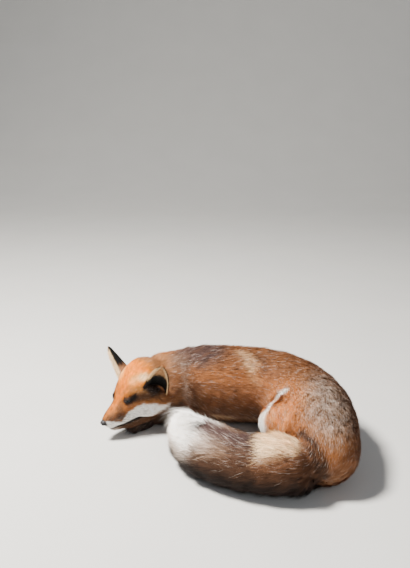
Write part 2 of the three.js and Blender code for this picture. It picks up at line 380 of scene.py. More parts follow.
def whisker_material():
    return mottled_material("whisker_hair", (0.012, 0.010, 0.010), 0.35, 0.45, HAIRS, 0.6, 1.5)


# ---- working with meshes -------------------------------------------------------------------------


def pick(*objects):
    bpy.ops.object.select_all(action="DESELECT")
    for thing in objects:
        thing.select_set(True)
    bpy.context.view_layer.objects.active = objects[0]


@contextmanager
def edit_mode():
    """For the tools that work on the active mesh only while it is open."""
    bpy.ops.object.mode_set(mode="EDIT")
    yield
    bpy.ops.object.mode_set(mode="OBJECT")


def add_object(name, mesh):
    thing = bpy.data.objects.new(name, mesh)
    bpy.context.collection.objects.link(thing)
    return thing


def values_of(collection, quality, kind, width=1):
    """One quality of everything in a collection, as an array."""
    flat = np.empty(width * len(collection), kind)
    collection.foreach_get(quality, flat)
    return flat.reshape(-1, width) if width > 1 else flat


def points_of(mesh):
    return values_of(mesh.vertices, "co", np.float32, 3).astype(float)


def normals_of(mesh):
    return values_of(mesh.vertices, "normal", np.float32, 3).astype(float)


def edges_of(mesh):
    return values_of(mesh.edges, "vertices", np.int32, 2)


def triangles_of(mesh):
    mesh.calc_loop_triangles()
    return values_of(mesh.loop_triangles, "vertices", np.int32, 3)


def place_points(mesh, points):
    mesh.vertices.foreach_set("co", points.astype(np.float32).ravel())
    mesh.update()


def select_only(mesh, vertices=False, edges=False, polygons=False):
    """Sets what is selected when the mesh is next edited."""
    for collection, chosen in ((mesh.vertices, vertices), (mesh.edges, edges), (mesh.polygons, polygons)):
        collection.foreach_set("select", np.zeros(len(collection), bool) | chosen)


def stored(mesh, name):
    return values_of(mesh.attributes[name].data, "value", np.float32)


def store(mesh, name, values, kind):
    """Keeps a value for each point of a mesh."""
    attribute = mesh.attributes.new(name, kind, "POINT")
    if kind == "FLOAT_COLOR":
        opaque = np.ones((len(values), 4), np.float32)
        opaque[:, :3] = values
        attribute.data.foreach_set("color", opaque.ravel())
    else:
        attribute.data.foreach_set("value", values)


EVENLY = 0.5


def spread(values, edges, rounds, share=EVENLY):
    """Evens values out over a mesh: in each round a point moves by `share` towards its neighbours' mean."""
    values = np.array(values, float).reshape(len(values), -1)
    size = len(values)
    ends = ((edges[:, 0], edges[:, 1]), (edges[:, 1], edges[:, 0]))
    valence = sum(np.bincount(near, minlength=size) for near, _ in ends)
    share = np.reshape(share, (-1, 1)) / np.maximum(valence, 1)[:, None]
    for _ in range(rounds):
        total = np.stack([
            sum(np.bincount(near, column[far], size) for near, far in ends)
            for column in values.T
        ], 1)
        values = values + share * (total - valence[:, None] * values)
    return values


def smooth(low, high, value):
    """0 below `low`, 1 above `high` and an even change between."""
    t = np.clip((value - low) / (high - low), 0, 1)
    return t * t * (3 - 2 * t)


def ridge(value, place, breadth, height=1):
    """Highest where a value is at a place, falling off evenly on both sides."""
    return height * np.exp(-((value - place) / breadth) ** 2)


def ripple(points, size, seed):
    """A smooth unevenness from about -1 to 1, with swells of the given size."""
    dice = np.random.default_rng(seed)
    waves = unit(dice.normal(size=(9, 3))) * (2 * math.pi / size) * dice.uniform(0.6, 1.6, (9, 1))
    return np.sin(points @ waves.T + dice.uniform(0, 2 * math.pi, 9)).mean(1) * 2


PATH_STOPS = 48                 # how many places along a path are tried


def follow(path, points):
    """For each point, the share of the way along a path that is nearest, and its heading and place."""
    share = np.linspace(0, 1, PATH_STOPS)
    knots = np.linspace(0, 1, len(path))
    line = np.stack([np.interp(share, knots, column) for column in path.T], 1)
    nearest = np.stack([((points - spot) ** 2).sum(1) for spot in line]).argmin(0)
    return share[nearest], unit(np.gradient(line, axis=0))[nearest], line[nearest]


# ---- the skin ------------------------------------------------------------------------------------

VOXEL = 0.0039
FLAT = math.radians(50)         # triangles of an ear that meet at less are joined in fours
MERGE = 1e-5                    # corners of the solids' triangles closer than this are one point
GAP_FILL = 0.0005               # closes the clearance between the solids before they are fused
SMOOTHING = 42                  # rounds that take the facets out
KEEP_BULK = 0.88                # how much of each round's shrinking is given back
HOLLOW_ROUNDS = 22              # how widely a hollow between two parts is felt for

# how deep the coat is over the skin, from the solids' surface
COAT_DEPTH = {
    "lower_jaw": 0.0020, "neck": 0.0135, "chest": 0.0120, "loins": 0.0115, "rump": 0.0110,
    "thigh_left": 0.0095, "thigh_right": 0.0095, "shank_left": 0.006, "hindfoot_left": 0.0022,
    "hindfoot_right": 0.0022, "foreleg_left": 0.0045, "foreleg_right": 0.0045,
    "forepaw_left": 0.0017, "forepaw_right": 0.0017, "ear_left": 0.0005, "ear_right": 0.0005,
}
# and on the head by the distance behind the nose tip, and along the brush
HEAD_DEPTH = MM * np.array([(0, 0.7), (20, 1.1), (50, 1.9), (80, 3.2), (110, 5.2), (140, 8.5), (170, 12)])
BRUSH_DEPTH = np.array([(0, 0.010), (0.15, 0.018), (0.5, 0.022), (0.8, 0.022), (0.92, 0.019), (1, 0.015)])
RUFF_DEPTH = 0.004
LEAST_HEIGHT = 0.0004           # of the skin over the floor

LID_THICKNESS = 0.0008
LID_CORNERS = MM * np.array([(-52.5, 14, 25), (-71, 34, 26.5)])
LIDS_MIDDLE = LID_CORNERS.mean(0)
LIDS_REACH = 0.019
LIDS_END = 1.25                 # by the slit's half length
BY_SLIT = 1.3                   # where the dark of the lids ends, also by that
PAST_CORNERS = 0.008            # how fast the distance from the slit grows past its corners
EYE_LOOK = unit(np.array([0.42, 0.81, 0.40]))
SLIT_HEIGHT = 0.0009            # half of it, at its middle
BEHIND_LIDS = 0.0022            # how far the skin in the slit lies inside the eyeball
FIRM = ["lower_jaw", *HIND_FEET, *FOREPAWS]
FIRM_SOFTNESS = 0.15            # share of the way to its neighbours' mean that a point here moves
NOSE_SOFTNESS = 0.1             # the same at the end of the nose
FACE_ENDS = -0.12               # from here back, the skin is drawn in less where it is hollow:
HOLLOW_FILL = (2, 0.7)          # by this times the hollow's depth, up to this share of the coat's
NOSE_SOCKET = 0.86              # how far the skin is drawn in round the nose leather
SOCKET_RIM = (1.1, 1.4)         # and where it comes back out, both by the leather's reach

# place, breadth and height of what stands out round the eye, and of the crease between the lips
LID_EDGE = (0.0010, 0.0008, 0.0008)
LID_FOLD = (0.0056, 0.0010, 0.0012)
BROW_RIDGE = (0.0088, 0.0022, 0.0006)
LID_SAG = 0.0024                # how much lower the fold is at its ends
LIP_CREASE = (0, 0.0014, 0.0016)

# parts of the head whose faces are divided once more each: lowest and highest corner, from the nose
HEAD_BOX = MM * np.array([(-165, -90, -90), (90, 90, 90)])
MUZZLE_BOX = MM * np.array([(-52, -50, -50), (90, 50, 50)])
LIPS_BOX = MM * np.array([(-90, -40, -60), (90, 40, -12)])
AROUND_EYES = 0.024
EYELIDS = 0.014


def weld():
    """Joins the corners that triangles share."""
    bpy.ops.mesh.select_all(action="SELECT")
    bpy.ops.mesh.remove_doubles(threshold=MERGE)


def fused_form():
    """One closed form made from the solids of flesh."""
    parts = [add_object("form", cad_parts[name].data.copy()) for name in FLESH + PLUGS]
    for centre, reach in PADS:
        bpy.ops.mesh.primitive_ico_sphere_add(
            subdivisions=4, radius=1, location=in_scene(centre), rotation=head_turn.to_euler(), scale=reach,
        )
        bpy.ops.object.transform_apply(location=True, rotation=True, scale=True)
        parts.append(bpy.context.object)
    pick(*parts)
    bpy.ops.object.join()
    form = bpy.context.object
    form.name = "skin"
    form.data.materials.clear()
    with edit_mode():
        weld()
    swell = form.modifiers.new("close_gaps", "DISPLACE")
    swell.strength = GAP_FILL
    swell.mid_level = 0
    fuse = form.modifiers.new("fuse", "REMESH")
    fuse.mode = "VOXEL"
    fuse.voxel_size = VOXEL
    for modifier in ("close_gaps", "fuse"):
        bpy.ops.object.modifier_apply(modifier=modifier)
    return form


def ear_leaf(name):
    """An ear smoothed from its solid."""
    leaf = add_object(name + "_leaf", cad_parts[name].data.copy())
    leaf.data.materials.clear()
    pick(leaf)
    with edit_mode():
        weld()
        bpy.ops.mesh.tris_convert_to_quads(face_threshold=FLAT, shape_threshold=FLAT)
    round_off = leaf.modifiers.new("round_off", "SUBSURF")
    round_off.levels = 2
    round_off.render_levels = 2
    bpy.ops.object.modifier_apply(modifier="round_off")
    store(leaf.data, "leaf", np.ones(len(leaf.data.vertices)), "FLOAT")
    return leaf


def region_finder():
    """Tells which solid's surface is nearest to each of a set of points."""
    corners, faces, owners = [], [], []
    for index, name in enumerate(REGIONS):
        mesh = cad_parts[name].data
        start = sum(len(block) for block in corners)
        corners.append(points_of(mesh))
        triangles = triangles_of(mesh) + start
        faces.append(triangles)
        owners.append(np.full(len(triangles), index))
    tree = BVHTree.FromPolygons(np.vstack(corners).tolist(), np.vstack(faces).tolist())
    owner = np.concatenate(owners)
    return lambda points: owner[[tree.find_nearest(Vector(point))[2] for point in points]]


def as_head(region, chosen=True):
    """The regions with the chosen points of the ears' roots counted as head."""
    return np.where(is_in(region, *EARS) & chosen, REGIONS.index("head"), region)


def keep_whole(form):
    """Drops the small loose shells that fusing leaves inside the form."""
    mesh = form.data
    edges = edges_of(mesh)
    shell = np.arange(len(mesh.vertices))
    while True:
        lower = shell.copy()
        np.minimum.at(lower, edges[:, 0], shell[edges[:, 1]])
        np.minimum.at(lower, edges[:, 1], shell[edges[:, 0]])
        lower = lower[lower]
        if (lower == shell).all():
            break
        shell = lower
    main = np.bincount(shell).argmax()
    pick(form)
    bpy.context.tool_settings.mesh_select_mode = (True, False, False)
    select_only(mesh, vertices=shell != main)
    with edit_mode():
        bpy.ops.mesh.delete(type="VERT")


def refine(form, wanted):
    """Divides the faces whose middles are wanted, and evens the new points out."""
    mesh = form.data
    middles = values_of(mesh.polygons, "center", np.float32, 3).astype(float)
    pick(form)
    bpy.context.tool_settings.mesh_select_mode = (False, False, True)
    select_only(mesh, polygons=wanted(from_nose(middles)))
    with edit_mode():
        bpy.ops.mesh.subdivide(number_cuts=1)
    points = points_of(mesh)
    inside = wanted(from_nose(points))
    place_points(mesh, spread(points, edges_of(mesh), 3, EVENLY * inside))


def in_box(local, box):
    return ((local > box[0]) & (local < box[1])).all(1)


def near_eyes(local, reach):
    return np.linalg.norm(on_left(local) - LIDS_MIDDLE, axis=1) < reach


def on_head(local):
    """Where the skin is divided finely, as on the face and eyelids below."""
    return in_box(local, HEAD_BOX)


def on_face(local):
    return in_box(local, MUZZLE_BOX) | in_box(local, LIPS_BOX) | near_eyes(local, AROUND_EYES)


def on_eyelids(local):
    return near_eyes(local, EYELIDS)


def coat_depth(points, region):
    """How far the skin lies under the tips of the coat."""
    depth = np.array([COAT_DEPTH.get(name, 0) for name in REGIONS])[region]
    head = is_in(region, "head")
    local = from_nose(points[head])
    ruff = RUFF_DEPTH * smooth(0.036, 0.056, abs(local[:, 1])) * smooth(-0.055, -0.085, local[:, 0])
    depth[head] = np.interp(-local[:, 0], *HEAD_DEPTH.T) + ruff
    tail = is_in(region, *TAIL)
    depth[tail] = np.interp(follow(BRUSH, points[tail])[0], *BRUSH_DEPTH.T)
    return depth


def shaped_lids(local, side):
    """Draws the lids over one eyeball, with a narrow slit between them and a fold above.
    Gives the new places, whether each is by the slit, and its distance from the slit."""
    flip = np.array([1, side, 1])
    here = local * flip
    centre = np.array(EYES_FROM_NOSE) + (0, EYE_ASIDE, 0)
    ball = EYE_RADIUS + LID_THICKNESS
    from_centre = here - centre
    distance = np.linalg.norm(from_centre, axis=1, keepdims=True)
    facing = (from_centre @ EYE_LOOK) > 0
    covers = facing & (distance[:, 0] < ball)
    here[covers] = (centre + from_centre / distance * ball)[covers]

    inner, outer = LID_CORNERS
    half_length = np.linalg.norm(outer - inner) / 2
    along = unit(outer - inner - EYE_LOOK * ((outer - inner) @ EYE_LOOK))
    upward = np.cross(EYE_LOOK, along)
    upward = upward * np.sign(upward[2])
    front = centre + EYE_LOOK * ball
    offset = here - front
    u = (here - LIDS_MIDDLE) @ along / half_length
    level = offset @ upward - (LIDS_MIDDLE - front) @ upward * u * u
    close = facing & (np.linalg.norm(offset, axis=1) < LIDS_REACH)
    half = SLIT_HEIGHT * np.clip(1 - u * u, 0, 1)
    edge = ridge(abs(level) - half, *LID_EDGE)
    fold = ridge(level + LID_SAG * u * u, *LID_FOLD)
    brow = ridge(level, *BROW_RIDGE)
    raised = (edge - fold + brow) * np.clip(LIDS_END - abs(u), 0, 1) * close
    here += EYE_LOOK * raised[:, None]
    slit = close & (abs(u) < 1) & (abs(level) < half)
    here[slit] = (centre + unit(here - centre) * (EYE_RADIUS - BEHIND_LIDS))[slit]
    from_slit = np.hypot(np.maximum(abs(level) - half, 0), PAST_CORNERS * np.maximum(abs(u) - 1, 0))
    return here * flip, close & (abs(u) < BY_SLIT), from_slit


def filled(points, normals, edges, where, rounds=30):
    """Raises hollows, and leaves what bulges as it is."""
    for _ in range(rounds):
        sunk = ((spread(points, edges, 12) - points) * normals).sum(1)
        points = points + normals * (np.maximum(sunk, 0) * where)[:, None]
    return points


def lip_line(points, region, edges):
    """Distance from each point to the meeting of the upper lip and the lower jaw."""
    upper, lower = (REGIONS.index(name) for name in HEAD)
    ends = region[edges]
    meets = (ends == upper).any(1) & (ends == lower).any(1)
    seam = points[np.unique(edges[meets])]
    tree = KDTree(len(seam))
    for index, point in enumerate(seam):
        tree.insert(point, index)
    tree.balance()
    distance = np.full(len(points), 1.0)
    for index in np.flatnonzero(is_in(region, *HEAD)):
        distance[index] = tree.find(points[index])[2]
    return distance


def soften(form, find_region):
    """Takes the facets out, least on muzzle and paws, and fills the dips behind the ears."""
    points = points_of(form.data)
    edges = edges_of(form.data)
    region = as_head(find_region(points))
    head = is_in(region, "head")
    softness = np.full(len(points), EVENLY)
    softness[is_in(region, *FIRM)] = FIRM_SOFTNESS
    softness[head] = (EVENLY - NOSE_SOFTNESS) * smooth(0, -0.08, from_nose(points)[head, 0]) + NOSE_SOFTNESS
    for _ in range(SMOOTHING):
        points = spread(points, edges, 1, softness)
        points = spread(points, edges, 1, -KEEP_BULK * softness)
    points = spread(points, edges, 6, softness)
    place_points(form.data, points)
    local = from_nose(points)
    by_ear = np.linalg.norm(on_left(local) - EAR_ROOT, axis=1)
    nape = is_in(region, "head", "neck") * smooth(0.020, 0.034, by_ear)
    nape = nape * smooth(-0.100, -0.125, local[:, 0])
    points = filled(points, unit(spread(normals_of(form.data), edges, 4)), edges, nape)
    place_points(form.data, points)


def hollowness(points, outward, edges):
    """How deep each point lies in a hollow of the form, less than 0 where it bulges."""
    return ((spread(points, edges, HOLLOW_ROUNDS) - points) * outward).sum(1)


def draw_in(form, find_region):
    """Draws the form in by the coat's depth, and shapes the eyelids, the nose's socket and the lips."""
    mesh = form.data
    points = points_of(mesh)
    edges = edges_of(mesh)
    region = as_head(find_region(points))
    outward = unit(spread(normals_of(mesh), edges, 6))
    depth = spread(coat_depth(points, region), edges, 12)[:, 0]
    face = is_in(region, "head") & (from_nose(points)[:, 0] > FACE_ENDS)
    fill, most = HOLLOW_FILL
    in_hollow = np.clip(fill * hollowness(points, outward, edges), 0, most * depth)
    in_hollow = in_hollow * ~(face | is_in(region, *FIRM))
    depth -= spread(in_hollow, edges, 6)[:, 0]
    local = from_nose(points - outward * depth[:, None])
    lid_distance = np.full(len(points), 1.0)
    for side in EARS.values():
        local, touched, distance = shaped_lids(local, side)
        lid_distance[touched] = distance[touched]
    from_pad = from_leather(local)
    inward = np.minimum(1, NOSE_SOCKET / from_pad + smooth(*SOCKET_RIM, from_pad))
    sunk = np.where(from_pad < SOCKET_RIM[1], inward, 1)
    local = NOSE_MIDDLE + (local - NOSE_MIDDLE) * sunk[:, None]
    lips = lip_line(points, region, edges)
    crease = ridge(lips, *LIP_CREASE) * smooth(-0.100, -0.080, local[:, 0])
    points = in_scene(local) - outward * crease[:, None]
    points[:, 2] = np.maximum(points[:, 2], LEAST_HEIGHT)
    place_points(mesh, points)
    store(mesh, "lid_distance", lid_distance, "FLOAT")
    store(mesh, "lip_distance", lips, "FLOAT")


def make_skin(find_region, material):
    """The skin from nose to brush, with both ears."""
    skin = fused_form()
    keep_whole(skin)
    soften(skin, find_region)
    for wanted in (on_head, on_face, on_eyelids):
        refine(skin, wanted)
    draw_in(skin, find_region)
    leaves = [ear_leaf(name) for name in EARS]
    pick(skin, *leaves)
    bpy.ops.object.join()
    bpy.ops.object.shade_smooth()
    skin.data.materials.append(material)
    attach(skin, "root")
    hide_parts(*FLESH, *EARS)
    return skin


# ---- how the coat lies ---------------------------------------------------------------------------


def ear_frame(side):
    """The ear's root and its directions across, up and out of the opening, in the scene."""
    flip = np.array([1, side, 1])
    across = unit(np.cross(EAR_AXIS * flip, EAR_OPENING * flip))
    facing = np.cross(across, EAR_AXIS * flip)
    turned = [vector @ HEAD_AXES.T for vector in (across, EAR_AXIS * flip, facing)]
    return in_scene(EAR_ROOT * flip), np.stack(turned, 1)


def head_lie(local):
    """Back from the nose, round the eyes, out over the cheeks and down the ruff."""
    aside = np.sign(local[:, 1]) * smooth(0.004, 0.05, abs(local[:, 1]))
    back = smooth(-0.03, -0.12, local[:, 0])
    upward = np.where(local[:, 2] > 0.01, 0.12, -0.28)
    lie = np.stack([np.full(len(local), -1.0), aside * (0.25 + 0.35 * back), upward], 1)
    from_eye = on_left(local) - LIDS_MIDDLE
    around = ridge(np.linalg.norm(from_eye, axis=1), 0, 0.013)
    lie[:, 2] += 1.6 * around * np.sign(from_eye[:, 2] + 0.002)
    return lie


def lie_of_coat(points, region, normals, edges):
    """The way the hair points at each place on the skin."""
    lie = follow(SPINE, points)[1]
    lie[:, 2] -= 0.22 * smooth(0.5, -0.4, normals[:, 2])
    for name, path in LEGS.items():
        leg = is_in(region, name)
        lie[leg] = follow(path, points[leg])[1]
    lie[is_in(region, "thigh_left")] = THIGH_FALL
    lie[is_in(region, "thigh_right")] = HAUNCH_FALL
    tail = is_in(region, *TAIL)
    lie[tail] = follow(BRUSH, points[tail])[1]
    head = is_in(region, *HEAD)
    lie[head] = head_lie(from_nose(points[head])) @ HEAD_AXES.T
    for name, side in EARS.items():
        ear = is_in(region, name)
        forward = ear_place(points[ear], side)[2]
        lie[ear] = ear_frame(side)[1][:, 1] + 0.9 * ear_fringe(points[ear], side)[:, None] * forward
    lie = unit(spread(unit(lie), edges, 14))
    lie -= normals * (lie * normals).sum(1, keepdims=True)
    return unit(lie)


def bend_along(points, normals, lie, edges):
    """How sharply the skin curves along the lie of the hair: 1 / radius, more than 0 where it bulges."""
    top = np.zeros(len(points))
    base = np.full(len(points), 1e-9)
    for near, far in ((0, 1), (1, 0)):
        start, end = edges[:, near], edges[:, far]
        step = ((points[end] - points[start]) * lie[start]).sum(1)
        tip = ((normals[end] - normals[start]) * lie[start]).sum(1)
        top += np.bincount(start, tip * step, len(points))
        base += np.bincount(start, step * step, len(points))
    return np.clip(spread(top / base, edges, 6)[:, 0], -SHARPEST_BEND, SHARPEST_BEND)


# ---- markings ------------------------------------------------------------------------------------

FAWN = shade(240, 132, 42)
GINGER = shade(236, 130, 12)
TAWNY = shade(190, 100, 26)
RUST = shade(156, 104, 69)
FOX_RED = shade(126, 80, 53)
UMBER = shade(78, 54, 40)
GREY_BROWN = shade(136, 108, 86)
UNDERFUR = shade(108, 86, 70)
MAUVE = shade(74, 56, 53)
SILVER = shade(226, 210, 198)
CREAM = shade(246, 211, 162)
WHITE = shade(254, 250, 244)
SOOT = shade(34, 25, 22)
BLACK = shade(14, 11, 11)

# upper and lower edges of the white on the muzzle and cheek: distance behind the nose tip, and height
WHITE_TOP = MM * np.array([
    (0, 6), (9, 5), (20, -3), (33, -12), (38, -9), (45, -2), (53, 2), (67, 4), (76, 5), (86, 2), (98, -4),
    (108, -11), (121, -17), (135, -26),
])
WHITE_FOOT = MM * np.array([
    (0, -22), (14, -24), (30, -26), (45, -26), (62, -29), (81, -32), (95, -30), (102, -27), (109, -24),
    (121, -19), (135, -26),
])

# lines on the left of the head, in millimetres from the nose tip
TEMPLE = [(-76, 33, 37), (-88, 42, 34), (-98, 50, 28)]
# line of painted shade on the cheek
CHEEK_SHADE_LINE = [(-74, 36, 23), (-84, 43, 19), (-98, 54, 13)]
# line of painted shade below the ear
BELOW_EAR_SHADE = [(-98, 63, 30), (-108, 70, 18)]
BELOW_EYE = [(-57, 28, 12), (-68, 35, 10), (-80, 40, 6)]
CROWN_STREAK = [(-86, 22, 54), (-98, 32, 57), (-110, 42, 56)]
# line of painted shade in the brow's furrow
BROW_FURROW_SHADE = [(-58, 9, 34), (-70, 17, 43), (-80, 24, 46)]
TEAR_LINE = [(-52, 15, 22), (-42, 17, 17), (-35, 20, 5)]
WHISKER_BED = [(-12, 12, 5), (-25, 17, 4), (-36, 20, -2)]
EYE_CORNER = [(-70, 30, 26), (-76, 35, 31)]

# lines on the body and brush, in millimetres in the scene
THIGH_EDGE = [
    (112, -2, 124), (101, 4, 110), (87, -12, 104), (73, -32, 98), (64, -38, 86), (60, -42, 66),
    (56, -46, 45),
]
# fold behind the ear: the line of its painted shadow and of a pale streak down it
NECK_SHADOW_AND_STREAK = [(-84, 90, 142), (-77, 66, 114), (-71, 56, 76)]
PARTING = [(36, 108, 157), (50, 90, 151), (58, 70, 139)]
LOWER_PARTING = [(44, 80, 146), (52, 60, 126), (66, 50, 116)]
PARTING_SHADE = [(64, 98, 155), (78, 80, 146), (82, 62, 134)]
BELLY_LINE = [(-20, 62, 30), (30, 56, 24), (66, 58, 22)]
RUMP_LINE = [(172, -168, 100), (196, -170, 91), (222, -158, 72)]
# lines of painted shadow in the gap between the brush's root and the rump
TAIL_GAP_SHADOW = [(126, -136, 105), (144, -159, 101), (159, -177, 79), (164, -179, 46)]
BRUSH_GAP_SHADOW = [(133, -166, 101), (139, -172, 95), (145, -184, 79), (152, -186, 65), (163, -180, 50)]
WISPS_FROM = [(-66, -58, 93), (-46, -92, 98)]
BRUSH_SHADE = [(-44, -92, 107), (-34, -108, 106), (-19, -123, 106), (6, -140, 105), (32, -146, 104)]


def by_reach(points, centre, reach):
    """Places from a centre, in shares of a reach. Both are in millimetres."""
    return (points - MM * np.array(centre)) / (MM * np.array(reach))


def blot(points, centre, reach, edge=0.4):
    """1 inside an oval, falling to 0 across its soft edge."""
    distance = np.linalg.norm(by_reach(points, centre, reach), axis=1)
    return smooth(1 + edge, 1 - edge, distance)


def band(points, route, width, edge=0.5):
    """1 on a line through the given places, falling to 0 at about half its width away."""
    route = MM * np.array(route)
    nearest = np.full(len(points), 1.0)
    for start, end in zip(route, route[1:]):
        step = end - start
        share = np.clip((points - start) @ step / (step @ step), 0, 1)
        nearest = np.minimum(nearest, np.linalg.norm(points - start - share[:, None] * step, axis=1))
    return smooth(1 + edge, 1 - edge, nearest / (width * MM / 2))


def plain(colour, points):
    """One colour at every point."""
    return np.tile(colour, (len(points), 1))


def paint(base, colour, mask):
    """Mixes two colours evenly to the eye, which is nearly so between their square roots."""
    mask = np.reshape(np.clip(mask, 0, 1), (-1, 1))
    return (np.sqrt(base) * (1 - mask) + np.sqrt(colour) * mask) ** 2


def painted(ground, layers):
    """A ground colour with layers laid over it in turn, each a colour and its strength."""
    for colour, strength in layers:
        ground = paint(ground, colour, strength)
    return ground


def body_colour(points, normals):
    """Rust flanks, a dark nape, a grizzled hip and rump and a white edge to the thigh, with painted
    light on the upper faces and painted shade low on the neck, along the fold behind the ear, under the
    belly and in the gap by the brush.
    """
    x, y, z = points.T
    share = follow(SPINE, points)[0]
    coarse = ripple(points, 0.045, 1)
    fine = ripple(points, 0.014, 2)
    streaky = ripple(points, 0.008, 3)
    pepper = ripple(points, 0.0065, 9) + 0.5 * ripple(points, 0.0035, 12)
    top = smooth(0.45, 0.95, normals[:, 2])
    crown = smooth(-0.100, -0.128, x + 0.006 * fine) * smooth(0.080, 0.115, z)
    parting = 0.55 * band(points, PARTING, 20, 0.9) + 0.30 * band(points, LOWER_PARTING, 16, 0.9)
    grizzle = blot(points, (188, -70, 130), (48, 96, 52), 0.6)
    thigh = blot(points, (112, -28, 96), (58, 62, 52), 0.5)
    rim = smooth(0.222, 0.238, x) + smooth(0.07, 0.03, z) * smooth(-0.10, -0.14, y)
    inner_thigh = smooth(-0.55, -0.85, normals[:, 0]) * smooth(0.076, 0.064, x) * smooth(0.02, 0.04, x)
    inner_thigh = inner_thigh * smooth(0.030, 0.010, y) * smooth(-0.075, -0.060, y)
    edge = np.maximum(band(points, THIGH_EDGE, 12, 0.4), inner_thigh)
    colour = painted(plain(RUST, points), [
        # flanks and back, with painted light: a tawny tint on the faces that look up
        (FOX_RED, 0.40 + 0.45 * coarse),
        (TAWNY, 0.28 * smooth(0.2, 0.7, normals[:, 2])),
        (UMBER, 0.48 * top * smooth(0.12, 0.25, share) * smooth(0.8, 0.6, share)),
        # throat, nape and the fold behind the ear, with painted shade in umber low on the neck and along
        # the fold, and a pale streak down the fold
        # painted shade low on the neck
        (UMBER, 0.55 * smooth(0.140, 0.090, z) * smooth(-0.020, -0.075, x)),
        (MAUVE, blot(points, (-52, 122, 152), (58, 48, 34)) * (0.85 + 0.25 * fine)),
        (FAWN, 0.35 * crown),
        (GREY_BROWN, 0.60 * blot(points, (-104, 94, 142), (30, 30, 18), 0.7)),
        # painted shadow along the fold behind the ear
        (UMBER, 0.55 * band(points, NECK_SHADOW_AND_STREAK, 24, 0.8)),
        (SILVER, 0.30 * band(points, NECK_SHADOW_AND_STREAK, 6, 0.9)),
        (SILVER, 0.60 * blot(points, (-90, 62, 73), (15, 14, 11), 0.6) * (0.8 + 0.4 * fine)),
        # the coat's pale parting over the ribs, and the shade behind it
        (CREAM, parting * (0.70 + 0.75 * streaky)),
        (UMBER, 0.65 * band(points, PARTING_SHADE, 11, 0.9)),
        # belly, darkened low down by painted shade, with a pale line
        # painted shade low under the body
        (UMBER, 0.70 * smooth(0.080, 0.030, z) * smooth(0.11, 0.09, x)),
        (CREAM, 0.40 * band(points, BELLY_LINE, 12)),
        # hip and rump
        (GREY_BROWN, grizzle * 0.85),
        (SILVER, grizzle * 0.75 * smooth(0.0, 0.9, pepper)),
        (UMBER, grizzle * smooth(0.1, -0.8, pepper)),
        # thigh
        (FAWN, 0.52 * thigh * (0.8 + 0.5 * streaky)),
        (CREAM, 0.35 * thigh * smooth(0.0, 0.9, pepper)),
        # rear edge of the rump, root of the brush, painted shadow in the gap between the brush and the
        # rump, and white edge of the thigh
        (RUST, 0.6 * rim),
        (GREY_BROWN, 0.30 * rim),
        (WHITE, 0.50 * band(points, RUMP_LINE, 4)),
        (SOOT, 0.80 * band(points, TAIL_GAP_SHADOW, 18, 0.7)),
        (WHITE, edge),
    ])
    return colour, np.clip(0.15 + 0.75 * grizzle + 0.35 * thigh, 0, 1) * (1 - edge)


def brush_colour(points):
    """Orange under a cream crest, then brown, then mauve above beige, with painted shade along the
    lower side and darkest beneath, and a white tip.
    """
    share, _, axis = follow(BRUSH, points)
    fine = ripple(points, 0.012, 4)
    coarse = ripple(points, 0.03, 14)
    up = points[:, 2] - axis[:, 2] + 0.003 * fine
    place = share + 0.015 * fine
    crest = smooth(0.038, 0.047, up + 0.10 * np.clip(share - 0.30, 0, 0.08)) * smooth(0.19, 0.25, share)
    below_crest = smooth(0.024, 0.042, up) * smooth(0.27, 0.34, share) * smooth(0.40, 0.375, place)
    white = smooth(0.57, 0.66, place + 0.6 * (up - 0.022))
    low = smooth(0.080, 0.052, points[:, 2] + 0.006 * fine)
    under = smooth(0.056, 0.032, points[:, 2] + 0.005 * fine)
    colour = painted(plain(FOX_RED, points), [
        (RUST, 0.45 + 0.4 * coarse),
        (UMBER, 0.46 + 0.48 * smooth(0.36, 0.41, place)),
        (GREY_BROWN, 0.70 * smooth(0.46, 0.52, place) * smooth(0.004, 0.026, up)),
        (SILVER, 0.45 * smooth(0.50, 0.60, place) * smooth(0.012, 0.030, up)),
        # painted shade, umber, along the lower side
        (UMBER, 0.60 * smooth(0.026, 0.0, up) * smooth(0.14, 0.20, share)),
        (CREAM, 0.90 * crest * smooth(0.405, 0.375, place)),
        (CREAM, (0.35 + 0.25 * fine) * below_crest),
        (WHITE, white),
        (GREY_BROWN, 0.55 * low * white),
        (MAUVE, band(points, BRUSH_SHADE, 32, 0.6) * (1.0 + 0.25 * fine)),
        # painted shade, soot, beneath
        (SOOT, 0.92 * under * smooth(1.02, 0.9, share)),
        # painted shadow in the gap between the brush's root and the rump
        (SOOT, 0.85 * band(points, BRUSH_GAP_SHADOW, 22, 0.7)),
    ])
    return colour, 0.16 * smooth(-0.01, 0.03, up) * (1 - white) * (1 - under)


def in_ear_hollow(local):
    """1 on the part of the head that lies within the opening of an ear."""
    both = on_left(local)
    before = blot(both, (-105, 60, 34), (16, 17, 17), 0.3)
    within = blot(both, (-115, 48, 20), (14, 12, 17), 0.3)
    return np.maximum(before, within) * smooth(-0.127, -0.121, local[:, 0])


